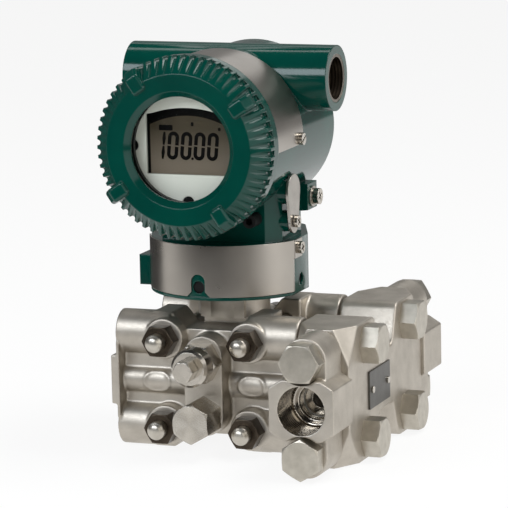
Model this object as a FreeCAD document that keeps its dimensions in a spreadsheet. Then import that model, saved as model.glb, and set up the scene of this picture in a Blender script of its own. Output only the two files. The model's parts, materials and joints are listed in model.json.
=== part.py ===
"""Flow transmitter with an integral orifice: a painted housing with an indicator on a pressure capsule.

The capsule sits between two cover flanges, and a manifold bolted to their right-hand ends carries
the flow through an orifice plate. X runs along the conduit and the flanges, Y along the flow and
the housing's barrel (the indicator faces -Y), Z up. The origin is at the middle of the underside.
Positions in the code are taken from the capsule's axis, at the flanges' half height.
"""
import FreeCAD, Part
import os
import re
import Sketcher

SIZES = {
    # Pressure interface between flanges, manifold and process flanges
    "port_pitch": 54.0,
    "bolt_pitch": 41.3,
    "boss_radius": 9.65,
    "thread_radius": 5.0,
    "thread_clearance": 0.1,
    "bolt_hole_radius": 5.5,
    "bolt_head_flats": 16.0,
    "bolt_head_height": 8.0,
    "bolt_head_room": 0.4,
    "tap_radius": 3.5,
    # Capsule and neck
    "capsule_radius": 23.2,
    "capsule_thickness": 22.0,
    "gasket_thickness": 0.6,
    "gasket_width": 3.2,
    "neck_width": 20.4,
    "neck_depth": 30.0,
    "neck_clearance": 2.7,
    "neck_rise": 10.8,
    "spigot_radius": 16.0,
    "spigot_rise": 20.9,
    "run_gap": 0.3,
    # Cover flanges
    "flange_width": 90.0,
    "flange_face_rise": 2.5,
    "flange_dip_half": 12.0,
    "flange_dip_slope": 6.0,
    "flange_dip": 7.0,
    "end_lip": 4.0,
    "end_lip_half_height": 11.0,
    "end_pad_half_height": 17.0,
    "end_inset": 2.5,
    "end_relief": 27.0,
    "rib_half_height": 5.6,
    "rib_rise": 3.5,
    "rib_drop": 0.7,
    "oval_left": 24.75,
    "oval_right": 19.9,
    "oval_length": 12.8,
    "oval_height": 9.8,
    "oval_rise": 0.5,
    "oval_rim": 0.9,
    "spot_radius": 9.0,
    "spot_rise": 0.05,
    "plug_rise": 13.0,
    "plug_boss_radius": 9.0,
    "plug_place": 13.3,
    "vent_place": 11.2,
    "plug_thread_radius": 6.2,
    "plug_thread_length": 11.0,
    "flange_thread_depth": 17.0,
    "gasket_seat_radius": 9.2,
    "gasket_seat_depth": 2.0,
    # Capsule bolts and nuts
    "stud_margin": 4.45,
    "stud_share_x": 0.7125,
    "stud_share_z": 0.7017,
    "stud_radius": 4.0,
    "stud_stickout": 13.2,
    "stud_dome": 1.9,
    "nut_flats": 13.0,
    "nut_height": 7.2,
    # Vent and drain plugs
    "plug_flats": 16.0,
    "plug_length": 17.0,
    "plug_chamfer": 1.2,
    "vent_hex_length": 9.0,
    "vent_collar_radius": 8.4,
    "vent_collar_length": 8.0,
    "vent_stem_radius": 3.5,
    "vent_stem_depth": 10.0,
    "vent_head_flats": 8.4,
    "vent_head_length": 7.0,
    # Manifold
    "manifold_depth": 25.8,
    "column_margin": 11.0,
    "end_length": 12.0,
    "column_inner_top": 15.0,
    "column_inner_foot": 16.0,
    "waist_half_width": 9.0,
    "waist_height": 13.0,
    "end_corner_width": 7.0,
    "end_corner_height": 16.0,
    "column_corner": 0.5,
    "column_round": 5.0,
    "waist_round": 4.0,
    "flow_radius": 7.5,
    "seal_seat_wall": 1.6,
    "seal_seat_depth": 4.0,
    "orifice_radius": 4.0,
    "orifice_thickness": 2.0,
    "process_thread_depth": 15.5,
    # Process flanges
    "lobe_thickness": 20.0,
    "process_boss_rise": 5.3,
    "process_boss_width": 29.0,
    "process_boss_height": 26.4,
    "process_boss_corner_x": 6.1,
    "process_boss_corner_z": 3.7,
    "process_port_radius": 10.45,
    "process_port_depth": 19.0,
    # Tag plate on the manifold
    "tag_front": -25.0,
    "tag_rear": 2.5,
    "tag_top": 7.2,
    "tag_bottom": -9.4,
    "tag_thickness": 0.8,
    "tag_rivet_radius": 1.5,
    "tag_rivet_inset": 3.4,
    # Housing barrel
    "barrel_rise": 45.5,
    "barrel_radius": 36.8,
    "barrel_front": 45.0,
    "barrel_rear": 33.0,
    "front_spigot_step": 3.8,
    "front_spigot_wall": 3.8,
    "rear_spigot_step": 6.8,
    "rear_spigot_wall": 3.5,
    "wall_front": 9.0,
    "wall_rear": 4.0,
    "conduit_rise": 23.5,
    "conduit_place": 6.3,
    "conduit_radius": 14.5,
    "conduit_bore_radius": 9.3,
    "conduit_bore_depth": 24.0,
    "conduit_way_radius": 7.5,
    "conduit_reach": 47.6,
    "wire_hole_radius": 5.0,
    "wire_hole_place": 15.0,
    # Housing base, collar and lugs
    "base_left": 24.0,
    "base_side_step": 6.8,
    "base_front": 24.0,
    "base_rear": 24.0,
    "base_corner": 6.0,
    "base_cut_start": 6.0,
    "base_cut_width": 10.0,
    "base_set": 23.2,
    "collar_gap": 0.7,
    "collar_height": 24.2,
    "collar_radius": 36.2,
    "collar_lip": 1.3,
    "collar_lip_radius": 36.8,
    "collar_flat": 33.6,
    "collar_cut_start": 4.75,
    "collar_cut_width": 12.9,
    "side_lug_reach": 40.2,
    "side_lug_front": 12.0,
    "side_lug_lift": 1.0,
    "side_lug_height": 14.5,
    "ground_lug_step": 3.8,
    "ground_lug_front": 7.0,
    "ground_lug_rear": 19.0,
    "ground_lug_drop": 24.0,
    "ground_lug_height": 15.2,
    "ground_lug_taper": 3.5,
    "ground_screw_place": 13.0,
    "ground_screw_drop": 30.2,
    # Sheet bands round barrel and collar
    "band_thickness": 0.6,
    "band_gap": 0.15,
    "name_band_rear": 9.5,
    "name_band_drop": 3.2,
    "name_screw_place": 13.5,
    "name_screw_drop": 0.7,
    "collar_band_gap": 0.2,
    "collar_band_end": 12.4,
    "collar_tab_rear": 5.0,
    "collar_tab_height": 8.2,
    "collar_tab_screw_place": 8.9,
    "collar_tab_screw_drop": 3.9,
    "notch_half_width": 3.3,
    "notch_place": 2.6,
    "notch_rise": 8.2,
    "notch_flare": 2.2,
    # Small screws
    "small_head_radius": 2.7,
    "small_head_height": 1.8,
    "small_shank_radius": 1.4,
    "small_shank_length": 5.0,
    "set_screw_radius": 2.6,
    "set_screw_rise": 5.6,
    "set_screw_side_place": 5.0,
    "set_screw_recess": 1.0,
    "lock_screw_radius": 3.0,
    "lock_screw_head": 8.0,
    "lock_screw_place": 20.0,
    "lock_screw_gap": 0.42,
    "ground_head_radius": 3.6,
    "ground_head_height": 3.0,
    "ground_washer_radius": 4.6,
    "ground_washer_thickness": 0.8,
    # Zero adjuster under its swinging leaf
    "zero_step": 3.7,
    "zero_place": 14.5,
    "leaf_pivot_drop": 36.9,
    "leaf_length": 13.2,
    "leaf_foot_radius": 5.2,
    "leaf_head_radius": 7.6,
    "leaf_thickness": 1.2,
    "zero_boss_radius": 5.8,
    "pivot_boss_radius": 4.6,
    "zero_screw_radius": 3.0,
    "zero_screw_length": 7.0,
    # Front cover with its window
    "cap_gap": 0.5,
    "cap_overhang": 3.1,
    "cap_rim": 5.5,
    "cap_rim_step": 0.5,
    "cap_depth": 17.0,
    "cap_shoulder": 10.5,
    "cap_bevel": 7.2,
    "cap_skirt_gap": 0.6,
    "cap_skirt_length": 3.5,
    "window_margin": 7.5,
    "window_slope": 2.5,
    "window_wall": 3.5,
    "window_land": 1.0,
    "glass_margin": 3.3,
    "glass_thickness": 4.0,
    "glass_gap": 0.15,
    "retainer_width": 2.6,
    "retainer_thickness": 2.0,
    "seal_wire_radius": 0.8,
    "seal_groove_depth": 1.5,
    "seal_groove_width": 2.6,
    "seal_groove_place": 1.2,
    "seal_relief_depth": 5.0,
    "seal_relief": 0.9,
    "tooth_count": 60,
    "tooth_round": 1.8,
    "tooth_side_round": 1.35,
    "tooth_depth": 1.5,
    "cutter_reach": 1.0,
    "lug_count": 4,
    "lug_turn": 34.0,
    "lug_width": 6.6,
    "lug_span": 10.6,
    "lug_overhang": 0.1,
    "lug_rise": 1.6,
    "lug_length": 5.6,
    "lug_bevel": 3.2,
    "lug_round": 1.5,
    "rear_lug_length": 8.5,
    "rear_lug_bevel": 1.4,
    "rear_lug_round": 0.7,
    # Rear cover
    "rear_cap_overhang": 4.0,
    "rear_cap_depth": 9.6,
    "rear_cap_drop": 3.2,
    "rear_cap_bevel": 3.4,
    "rear_cap_wall": 3.0,
    "rear_tooth_count": 54,
    "rear_tooth_depth": 1.1,
    "rear_cap_rim": 2.5,
    # Indicator and boards
    "bezel_gap": 1.5,
    "bezel_clearance": 1.0,
    "bezel_thickness": 1.5,
    "lcd_half_width": 17.2,
    "lcd_bottom": 12.2,
    "lcd_shoulder": 13.7,
    "lcd_arch": 3.0,
    "lcd_edge": 1.6,
    "lcd_thickness": 2.2,
    "board_clearance": 1.6,
    "board_thickness": 1.6,
    "main_board_set": 17.0,
    "post_radius": 2.2,
    "post_inset": 5.0,
    "bezel_screw_hole": 2.7,
    "bezel_screw_radius": 2.4,
    # Terminal block
    "block_side_gap": 7.5,
    "block_foot_gap": 0.77,
    "block_rise": 4.8,
    "block_depth": 18.0,
    "barrier_height": 4.0,
    "barrier_thickness": 1.6,
    "terminal_pitch": 8.4,
    "terminal_head_radius": 3.0,
    "terminal_head_height": 2.6,
    "terminal_shank_radius": 1.6,
    "terminal_shank_length": 9.0,
    "terminal_drop": 8.2,
}

# Sizes that follow from others
WORKED_OUT = {
    "stand_height": "bolt_pitch / 2 + boss_radius",
    "rib_radius": "(rib_half_height ^ 2 + rib_rise ^ 2) / (2 * rib_rise)",
    "flange_face": "port_pitch / 2 + flange_face_rise",
    "spot_face": "port_pitch / 2 + boss_radius + spot_rise",
    "plug_face": "port_pitch / 2 + plug_rise",
    "stud_tip": "spot_face + stud_stickout",
    "stud_place_x": "(capsule_radius + stud_margin) * stud_share_x",
    "stud_place_z": "(capsule_radius + stud_margin) * stud_share_z",
    "manifold_column": "port_pitch / 2 + column_margin",
    "manifold_end": "manifold_column + end_length",
    "seal_seat_radius": "manifold_depth / 2 - seal_seat_wall",
    "process_lobe_face": "manifold_end + lobe_thickness",
    "process_face": "process_lobe_face + process_boss_rise",
    "neck_foot": "stand_height - flange_dip + neck_clearance",
    "neck_top": "neck_foot + neck_rise",
    "collar_bottom": "neck_top + collar_gap",
    "collar_top": "collar_bottom + collar_height",
    "spigot_top": "collar_bottom + spigot_rise",
    "side_lug_bottom": "collar_bottom + side_lug_lift",
    "side_lug_top": "collar_bottom + side_lug_height",
    "notch_height": "collar_bottom + notch_rise",
    "set_screw_height": "collar_bottom + set_screw_rise",
    "band_radius": "collar_radius + collar_band_gap + band_thickness",
    "tab_face": "collar_flat + collar_band_gap + band_thickness",
    "collar_tab_front": "sqrt(band_radius ^ 2 - tab_face ^ 2)",
    "collar_tab_bottom": "collar_top - collar_tab_height",
    "collar_tab_screw_height": "collar_top - collar_tab_screw_drop",
    "barrel_height": "collar_top + barrel_rise",
    "base_top": "barrel_height - base_set",
    "base_right": "barrel_radius - base_side_step",
    "conduit_height": "barrel_height + conduit_rise",
    "ground_lug_reach": "barrel_radius - ground_lug_step",
    "ground_lug_top": "barrel_height - ground_lug_drop",
    "ground_lug_bottom": "ground_lug_top - ground_lug_height",
    "ground_screw_height": "barrel_height - ground_screw_drop",
    "name_band_end": "barrel_height - name_band_drop",
    "name_screw_height": "barrel_height - name_screw_drop",
    "lock_screw_reach": "barrel_radius + lock_screw_radius + lock_screw_gap",
    "lock_screw_height": "barrel_height - sqrt(lock_screw_reach ^ 2 - lock_screw_place ^ 2)",
    "zero_face": "barrel_radius - zero_step",
    "leaf_pivot_height": "barrel_height - leaf_pivot_drop",
    "zero_height": "leaf_pivot_height + leaf_length",
    "front_spigot_radius": "barrel_radius - front_spigot_step",
    "front_spigot_length": "cap_shoulder",
    "front_cavity_radius": "front_spigot_radius - front_spigot_wall",
    "cap_radius": "barrel_radius + cap_overhang",
    "cap_face_radius": "cap_radius - cap_bevel",
    "cap_skirt_radius": "front_cavity_radius - cap_skirt_gap",
    "window_outer_radius": "cap_face_radius - window_margin",
    "window_radius": "window_outer_radius - window_slope",
    "glass_radius": "window_radius + glass_margin",
    "glass_rear": "barrel_front + cap_gap + cap_depth - window_wall - glass_thickness",
    "lug_outer": "cap_radius + lug_overhang",
    "lug_inner": "cap_radius - lug_span",
    "rear_spigot_radius": "barrel_radius - rear_spigot_step",
    "rear_spigot_length": "rear_cap_depth - rear_cap_wall + cap_gap - run_gap",
    "rear_cavity_radius": "rear_spigot_radius - rear_spigot_wall",
    "rear_cap_radius": "rear_spigot_radius + rear_cap_overhang",
    "rear_cap_shoulder": "rear_cap_depth - rear_cap_drop",
    "rear_cap_face_radius": "rear_cap_radius - rear_cap_bevel",
    "bezel_front": "glass_rear - retainer_thickness - bezel_gap",
    "bezel_radius": "front_cavity_radius - bezel_clearance",
    "board_radius": "front_cavity_radius - board_clearance",
    "main_board_place": "barrel_front - main_board_set",
    "post_circle": "front_cavity_radius - post_inset",
    "block_half_width": "rear_cavity_radius - block_side_gap",
    "block_bottom": "barrel_height - sqrt(rear_cavity_radius ^ 2 - block_half_width ^ 2) + block_foot_gap",
    "block_top": "barrel_height + block_rise",
    "terminal_height": "barrel_height - terminal_drop",
}

doc = FreeCAD.newDocument("flow_transmitter")
sheet = doc.addObject("Spreadsheet::Sheet", "sizes")
nodes = {}

# Places that several pieces share, worked out from the sizes
PORT_Y = "(port_pitch / 2)"
BOLT_Z = "(bolt_pitch / 2)"
FLANGE_X = "(flange_width / 2)"
FLANGE_BACK = "(capsule_thickness / 2 + gasket_thickness)"
RUN_X = f"({FLANGE_X} + manifold_depth / 2)"
MANIFOLD_X = f"({FLANGE_X} + manifold_depth)"
RIGHT_REACH = f"({MANIFOLD_X} + bolt_head_height)"
CAPSULE_X = f"((conduit_reach - {RIGHT_REACH}) / 2)"
VENT_FACE = "(plug_face + vent_hex_length + vent_collar_length)"
RIB_Y = "(rib_radius - rib_rise - flange_face)"
CAP_REAR = "(barrel_front + cap_gap)"
REAR_CAP_FRONT = "(barrel_rear + cap_gap)"
BEZEL_REAR = "(bezel_front - bezel_thickness)"
LCD_REAR = f"({BEZEL_REAR} - lcd_thickness)"
NECK_BORE = "(spigot_radius + run_gap)"
COLLAR_BORE_TOP = "(spigot_top + run_gap)"
NAME_BAND_RADIUS = "(barrel_radius + band_gap + band_thickness)"
RING_SEAT = "(seal_seat_radius - thread_clearance)"
ORIFICE_RING = "((seal_seat_depth - orifice_thickness) / 2)"

ALONG = {
    "+X": FreeCAD.Vector(1, 0, 0),
    "-X": FreeCAD.Vector(-1, 0, 0),
    "+Y": FreeCAD.Vector(0, 1, 0),
    "-Y": FreeCAD.Vector(0, -1, 0),
    "+Z": FreeCAD.Vector(0, 0, 1),
}
UP = FreeCAD.Vector(0, 0, 1)
FULL_TURN = 360.0
POINTED_UP = 30.0
TERMINAL_COUNT = 4
SAME_LINE = 0.999
SAME_PLACE = 0.01
SIZE_WORD = re.compile(r"[a-z_]\w*")


def fill_sheet():
    """Writes each size into the sheet, with its name as the cell's alias."""
    for row, (name, size) in enumerate(SIZES.items(), start=1):
        sheet.set(f"A{row}", name)
        sheet.set(f"B{row}", str(size))
        sheet.setAlias(f"B{row}", name)
    doc.recompute()


def spelled_out(text):
    """Puts the sizes that follow from others into a text as what they are worked out from."""
    def step(word):
        return f"({spelled_out(WORKED_OUT[word[0]])})" if word[0] in WORKED_OUT else word[0]
    return SIZE_WORD.sub(step, str(text))


def formula(text):
    """Points each size named in a text at its cell in the sheet."""
    return SIZE_WORD.sub(lambda word: "sizes." + word[0] if word[0] in SIZES else word[0], spelled_out(text))


def number(text):
    """The present value of a formula."""
    return float(sheet.evalExpression(spelled_out(text)))


def bind(thing, **texts):
    """Ties properties of an object to formulas."""
    for name, text in texts.items():
        thing.setExpression(name, formula(text))
    return thing


def place(thing, at, along="+Z", roll=0.0):
    """Puts an object's own Z along a direction, at a place measured from the capsule's axis."""
    turn = FreeCAD.Rotation(UP, ALONG[along]) * FreeCAD.Rotation(UP, roll)
    thing.Placement = FreeCAD.Placement(FreeCAD.Vector(), turn)
    texts = (f"{CAPSULE_X} + {at[0]}", str(at[1]), f"stand_height + {at[2]}")
    for axis, text in zip("xyz", texts):
        thing.setExpression(f"Placement.Base.{axis}", formula(text))
    return thing


def cylinder(radius, length, at, along="+Z"):
    piece = doc.addObject("Part::Cylinder", "cylinder")
    bind(piece, Radius=radius, Height=length)
    return place(piece, at, along)


def cone(first_radius, last_radius, length, at, along="+Z"):
    piece = doc.addObject("Part::Cone", "cone")
    bind(piece, Radius1=first_radius, Radius2=last_radius, Height=length)
    return place(piece, at, along)


def hexagon(flats, length, at, along="+Z", roll=0.0):
    piece = doc.addObject("Part::Prism", "hexagon")
    piece.Polygon = 6
    bind(piece, Circumradius=f"{flats} / sqrt(3)", Height=length)
    return place(piece, at, along, roll)


def hex_head(flats, length, at, along, roll=0.0):
    """A hexagon with the corners of its outer end turned off, as on a bolt head."""
    corners = cone(f"{flats} / 2 + sqrt(3) * {length}", f"{flats} / 2", length, at, along)
    return common(hexagon(flats, length, at, along, roll), corners)


def ring(mean_radius, wire_radius, at, along):
    piece = doc.addObject("Part::Torus", "ring")
    bind(piece, Radius1=mean_radius, Radius2=wire_radius)
    return place(piece, at, along)


def block(x, y, z):
    """A box between two formulas on each axis."""
    piece = doc.addObject("Part::Box", "block")
    spans = [f"({high}) - ({low})" for low, high in (x, y, z)]
    bind(piece, Length=spans[0], Width=spans[1], Height=spans[2])
    return place(piece, [f"({low})" for low, _ in (x, y, z)])


def fuse(*pieces):
    joined = doc.addObject("Part::MultiFuse", "joined")
    joined.Shapes = list(pieces)
    joined.Refine = True
    return joined


def cut(base, *tools):
    result = doc.addObject("Part::Cut", "cut")
    result.Base = base
    result.Tool = fuse(*tools) if len(tools) > 1 else tools[0]
    result.Refine = True
    return result


def common(first, second):
    result = doc.addObject("Part::Common", "common")
    result.Base = first
    result.Tool = second
    return result


def group(*pieces):
    """Separate solids that share one node."""
    result = doc.addObject("Part::Compound", "group")
    result.Links = list(pieces)
    return result


def mirrored(piece):
    """The same piece on the other side of the capsule's middle plane."""
    result = doc.addObject("Part::Mirroring", "mirrored")
    result.Source = piece
    result.Normal = ALONG["+Y"]
    return result


def node(name, thing):
    """Names a finished sub-part."""
    thing.Label = name
    nodes[name] = thing
    return thing


def new_body(at, along="+Z", roll=0.0):
    return place(doc.addObject("PartDesign::Body", "body"), at, along, roll)


def outline(body, plane, points, offset="0"):
    """A closed sketch on one of the body's own planes, with every corner tied to formulas."""
    sketch = body.newObject("Sketcher::SketchObject", "outline")
    support = next(part for part in body.Origin.OriginFeatures if part.Role == plane)
    sketch.AttachmentSupport = (support, [""])
    sketch.MapMode = "FlatFace"
    sketch.setExpression("AttachmentOffset.Base.z", formula(offset))
    corners = [FreeCAD.Vector(number(u), number(v), 0) for u, v in points]
    count = len(points)
    for index in range(count):
        sketch.addGeometry(Part.LineSegment(corners[index], corners[(index + 1) % count]), False)
    for index in range(count):
        sketch.addConstraint(Sketcher.Constraint("Coincident", index, 2, (index + 1) % count, 1))
    for index, texts in enumerate(points):
        for kind, text, now in zip(("DistanceX", "DistanceY"), texts, corners[index]):
            tie = sketch.addConstraint(Sketcher.Constraint(kind, -1, 1, index, 1, now))
            sketch.setExpression(f"Constraints[{tie}]", formula(text))
    return sketch


def pad(body, sketch, length, symmetric=False, reverse=False):
    feature = body.newObject("PartDesign::Pad", "pad")
    feature.Profile = sketch
    feature.SideType = "Symmetric" if symmetric else "One side"
    feature.Reversed = reverse
    bind(feature, Length=length)
    return feature


def turned(body, points):
    """Spins a half section of radius and height about the body's own Z."""
    sketch = outline(body, "XZ_Plane", points)
    feature = body.newObject("PartDesign::Revolution", "turned")
    feature.Profile = sketch
    feature.ReferenceAxis = (sketch, ["V_Axis"])
    feature.Angle = FULL_TURN
    return feature


def round_slot(body, points):
    """A groove left by a round cutter that runs along the first side of its half outline."""
    sketch = outline(body, "XZ_Plane", points)
    feature = body.newObject("PartDesign::Groove", "round_slot")
    feature.Profile = sketch
    feature.ReferenceAxis = (sketch, ["Edge1"])
    feature.Angle = FULL_TURN
    return feature


def repeated(body, features, count):
    """Copies features evenly round the body's own Z."""
    pattern = body.newObject("PartDesign::PolarPattern", "repeated")
    pattern.Originals = features
    axis = next(part for part in body.Origin.OriginFeatures if part.Role == "Z_Axis")
    pattern.Axis = (axis, [""])
    pattern.Angle = FULL_TURN
    bind(pattern, Occurrences=count)
    body.Tip = pattern
    return pattern


def round_edges(body, base, radius, direction, places):
    """Rounds the edges that run along a direction through the given points of the body."""
    doc.recompute()
    points = [FreeCAD.Vector(*[number(text) for text in spot]) for spot in places]
    names = []
    for index, edge in enumerate(base.Shape.Edges, start=1):
        middle = edge.CenterOfMass
        run = edge.lastVertex().Point - edge.firstVertex().Point
        if run.Length == 0 or abs(run.normalize().dot(direction)) < SAME_LINE:
            continue
        if any((middle - point).cross(direction).Length < SAME_PLACE for point in points):
            names.append(f"Edge{index}")
    feature = body.newObject("PartDesign::Fillet", "round")
    feature.Base = (base, names)
    bind(feature, Radius=radius)
    return feature


def opposite(along):
    return {"+": "-", "-": "+"}[along[0]] + along[1]


def moved(at, along, distance):
    """A place shifted by a distance along a direction."""
    shifted = list(at)
    axis = "XYZ".index(along[1])
    shifted[axis] = f"({at[axis]} {along[0]} ({distance}))"
    return tuple(shifted)


def screw(head_radius, head_height, shank_radius, shank_length, at, along, lift="0"):
    """A cheese-headed screw in a casting at a place, its head lifted by what it clamps there."""
    seat = moved(at, along, lift)
    head = cylinder(head_radius, head_height, seat, along)
    return fuse(head, cylinder(shank_radius, f"{shank_length} + {lift}", seat, opposite(along)))


def screw_hole(shank_radius, shank_length, at, along):
    """Room for a screw's shank below its seat."""
    depth = f"{shank_length} + thread_clearance"
    return cylinder(f"{shank_radius} + thread_clearance", depth, at, opposite(along))


def small_screw(at, along, lift="0"):
    return screw("small_head_radius", "small_head_height", "small_shank_radius", "small_shank_length",
                 at, along, lift)


def small_screw_hole(at, along):
    return screw_hole("small_shank_radius", "small_shank_length", at, along)


def dome(radius, rise, at, along):
    """The rounded tip of a bolt."""
    bulge = f"(({radius} ^ 2 + {rise} ^ 2) / (2 * {rise}))"
    ball = bind(doc.addObject("Part::Sphere", "ball"), Radius=bulge)
    place(ball, moved(at, along, f"{rise} - {bulge}"))
    return common(cylinder(radius, rise, at, along), ball)


# Places of the small screws, used by the screws and by the holes they sit in
NAME_SCREWS = [((f"{side}barrel_radius", "-name_screw_place", "name_screw_height"), along)
               for side, along in (("", "+X"), ("-", "-X"))]
TAB_SCREW = (("collar_flat", "-collar_tab_screw_place", "collar_tab_screw_height"), "+X")
LEAF_SCREW = (("zero_face", "-zero_place", "leaf_pivot_height"), "+X")
GROUND_SCREW = (("ground_lug_reach", "ground_screw_place", "ground_screw_height"), "+X")
LOCK_SCREW = (("lock_screw_place", "-base_front", "lock_screw_height"), "-Y")
ZERO_SCREW = (("zero_face", "-zero_place", "zero_height"), "-X")
POSTS = [("post_circle", "0"), ("-post_circle", "0"), ("0", "-post_circle")]
TERMINALS = [f"(({step} - {TERMINAL_COUNT - 1} / 2) * terminal_pitch)" for step in range(TERMINAL_COUNT)]
BARRIERS = [f"(({step} - {TERMINAL_COUNT} / 2) * terminal_pitch)" for step in range(TERMINAL_COUNT + 1)]
TAG_MIDDLE = "((tag_top + tag_bottom) / 2)"
TAG_RIVETS = ("tag_front + tag_rivet_inset", "tag_rear - tag_rivet_inset")
FOUR_WAYS = [(x, z) for x in ("", "-") for z in ("", "-")]


def amplifier_housing():
    """The painted casting: barrel, conduit tube, base, collar and lugs, hollow from both ends."""
    base = new_body(("0", "0", "collar_top"))
    corners = [("-base_left", "-base_front"), ("base_right - base_corner", "-base_front"),
               ("base_right", "-base_front + base_corner"), ("base_right", "base_cut_start"),
               ("base_right - base_cut_width", "base_rear"), ("-base_left", "base_rear")]
    pad(base, outline(base, "XY_Plane", corners), "base_top - collar_top")
    lip_bottom = ("0", "0", "collar_bottom")
    collar = fuse(cylinder("collar_radius", "collar_top - collar_bottom", lip_bottom),
                  cylinder("collar_lip_radius", "collar_lip", lip_bottom))
    trim = new_body(lip_bottom)
    beyond = "2 * collar_radius"
    trim_corners = [("collar_flat", "-collar_radius"), (beyond, "-collar_radius"), (beyond, "collar_radius"),
                    ("collar_flat - collar_cut_width", "collar_radius"), ("collar_flat", "collar_cut_start")]
    pad(trim, outline(trim, "XY_Plane", trim_corners), "collar_height")
    ground_lug = new_body(("0", "ground_lug_rear", "0"))
    lug_corners = [("0", "ground_lug_bottom"), ("ground_lug_reach", "ground_lug_bottom + ground_lug_taper"),
                   ("ground_lug_reach", "ground_lug_top"), ("0", "ground_lug_top")]
    pad(ground_lug, outline(ground_lug, "XZ_Plane", lug_corners), "ground_lug_rear - ground_lug_front")
    barrel_centre = ("0", "-barrel_front", "barrel_height")
    solid = fuse(
        cylinder("barrel_radius", "barrel_front + barrel_rear", barrel_centre, "+Y"),
        cylinder("front_spigot_radius", "front_spigot_length", barrel_centre, "-Y"),
        cylinder("rear_spigot_radius", "rear_spigot_length", ("0", "barrel_rear", "barrel_height"), "+Y"),
        cylinder("conduit_radius", "2 * conduit_reach", ("-conduit_reach", "conduit_place", "conduit_height"),
                 "+X"),
        base,
        cut(collar, trim),
        block(("-side_lug_reach", "-base_left"), ("-side_lug_front", "0"),
              ("side_lug_bottom", "side_lug_top")),
        ground_lug,
        cylinder("zero_boss_radius", "zero_face", ("0", "-zero_place", "zero_height"), "+X"),
        cylinder("pivot_boss_radius", "zero_face", ("0", "-zero_place", "leaf_pivot_height"), "+X"),
    )
    groove = [cut(cylinder(f"{radius} + seal_groove_depth", "seal_groove_width", at, along),
                  cylinder(f"{radius} - seal_groove_depth", "seal_groove_width", at, along))
              for radius, at, along in (
                  ("front_spigot_radius", ("0", f"-{CAP_REAR} - seal_groove_place", "barrel_height"), "-Y"),
                  ("rear_spigot_radius", ("0", f"{REAR_CAP_FRONT} + seal_groove_place", "barrel_height"),
                   "+Y"))]
    holes = [small_screw_hole(*spot)
             for spot in (*NAME_SCREWS, TAB_SCREW, LEAF_SCREW, GROUND_SCREW, LOCK_SCREW)]
    holes += [cylinder("post_radius - thread_clearance", "wall_front - wall_rear + thread_clearance",
                       (x, "-wall_front", f"barrel_height + {z}"), "+Y") for x, z in POSTS]
    return cut(
        solid,
        cylinder("front_cavity_radius", "barrel_front + front_spigot_length - wall_front",
                 ("0", "-wall_front", "barrel_height"), "-Y"),
        cylinder("rear_cavity_radius", "barrel_rear + rear_spigot_length + wall_rear",
                 ("0", "-wall_rear", "barrel_height"), "+Y"),
        cylinder("conduit_way_radius", "2 * conduit_reach",
                 ("-conduit_reach", "conduit_place", "conduit_height"), "+X"),
        *[cylinder("conduit_bore_radius", "conduit_bore_depth",
                   (f"{side}conduit_reach", "conduit_place", "conduit_height"), inward)
          for side, inward in (("", "-X"), ("-", "+X"))],
        cylinder(NECK_BORE, f"{COLLAR_BORE_TOP} - collar_bottom", lip_bottom),
        cylinder("wire_hole_radius", "barrel_height - spigot_top", ("0", "-wire_hole_place", "spigot_top")),
        cylinder("set_screw_radius + thread_clearance", "collar_lip_radius",
                 ("-notch_place", "0", "set_screw_height"), "-Y"),
        cylinder("set_screw_radius + thread_clearance", "collar_lip_radius",
                 ("0", "-set_screw_side_place", "set_screw_height"), "+X"),
        cylinder("zero_screw_radius + run_gap", "zero_screw_length + run_gap", *ZERO_SCREW),
        *groove,
        *holes,
    )


def toothed_cap(sizes, section, count):
    """Turns a screwed cap, mills round grooves between its grip teeth and adds four turning lugs."""
    radius, rim, shoulder, depth, face_radius, tooth_depth, at, along, lug = sizes
    cap = new_body(at, along, number("lug_turn"))
    turned(cap, section)
    floor = f"({radius} - {tooth_depth})"
    bevel = round_slot(cap, [(f"{face_radius} + tooth_round", depth), (f"{floor} + tooth_round", shoulder),
                             (floor, shoulder), (face_radius, depth)])
    side = round_slot(cap, [(f"{floor} + tooth_side_round", depth), (f"{floor} + tooth_side_round", rim),
                            (floor, rim), (floor, depth)])
    repeated(cap, [bevel, side], count)
    turns = [number(f"lug_turn + {index} * {FULL_TURN} / lug_count")
             for index in range(int(number("lug_count")))]
    return fuse(cap, *[turning_lug(lug, at, along, turn) for turn in turns])


def turning_lug(lug, at, along, turn):
    """One of the round-edged lugs that a bar turns a cap by."""
    inner, outer, low, high, bevel, rounding = lug
    body = new_body(at, along, turn)
    nose = outline(body, "XZ_Plane", [
        (inner, low), (outer, low), (outer, f"{high} - {bevel}"),
        (f"{outer} - {bevel}", high), (inner, high)])
    block_form = pad(body, nose, "lug_width", symmetric=True)
    edges = body.newObject("PartDesign::Fillet", "round")
    edges.Base = (block_form, [""])
    edges.UseAllEdges = True
    bind(edges, Radius=rounding)
    return body


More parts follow.
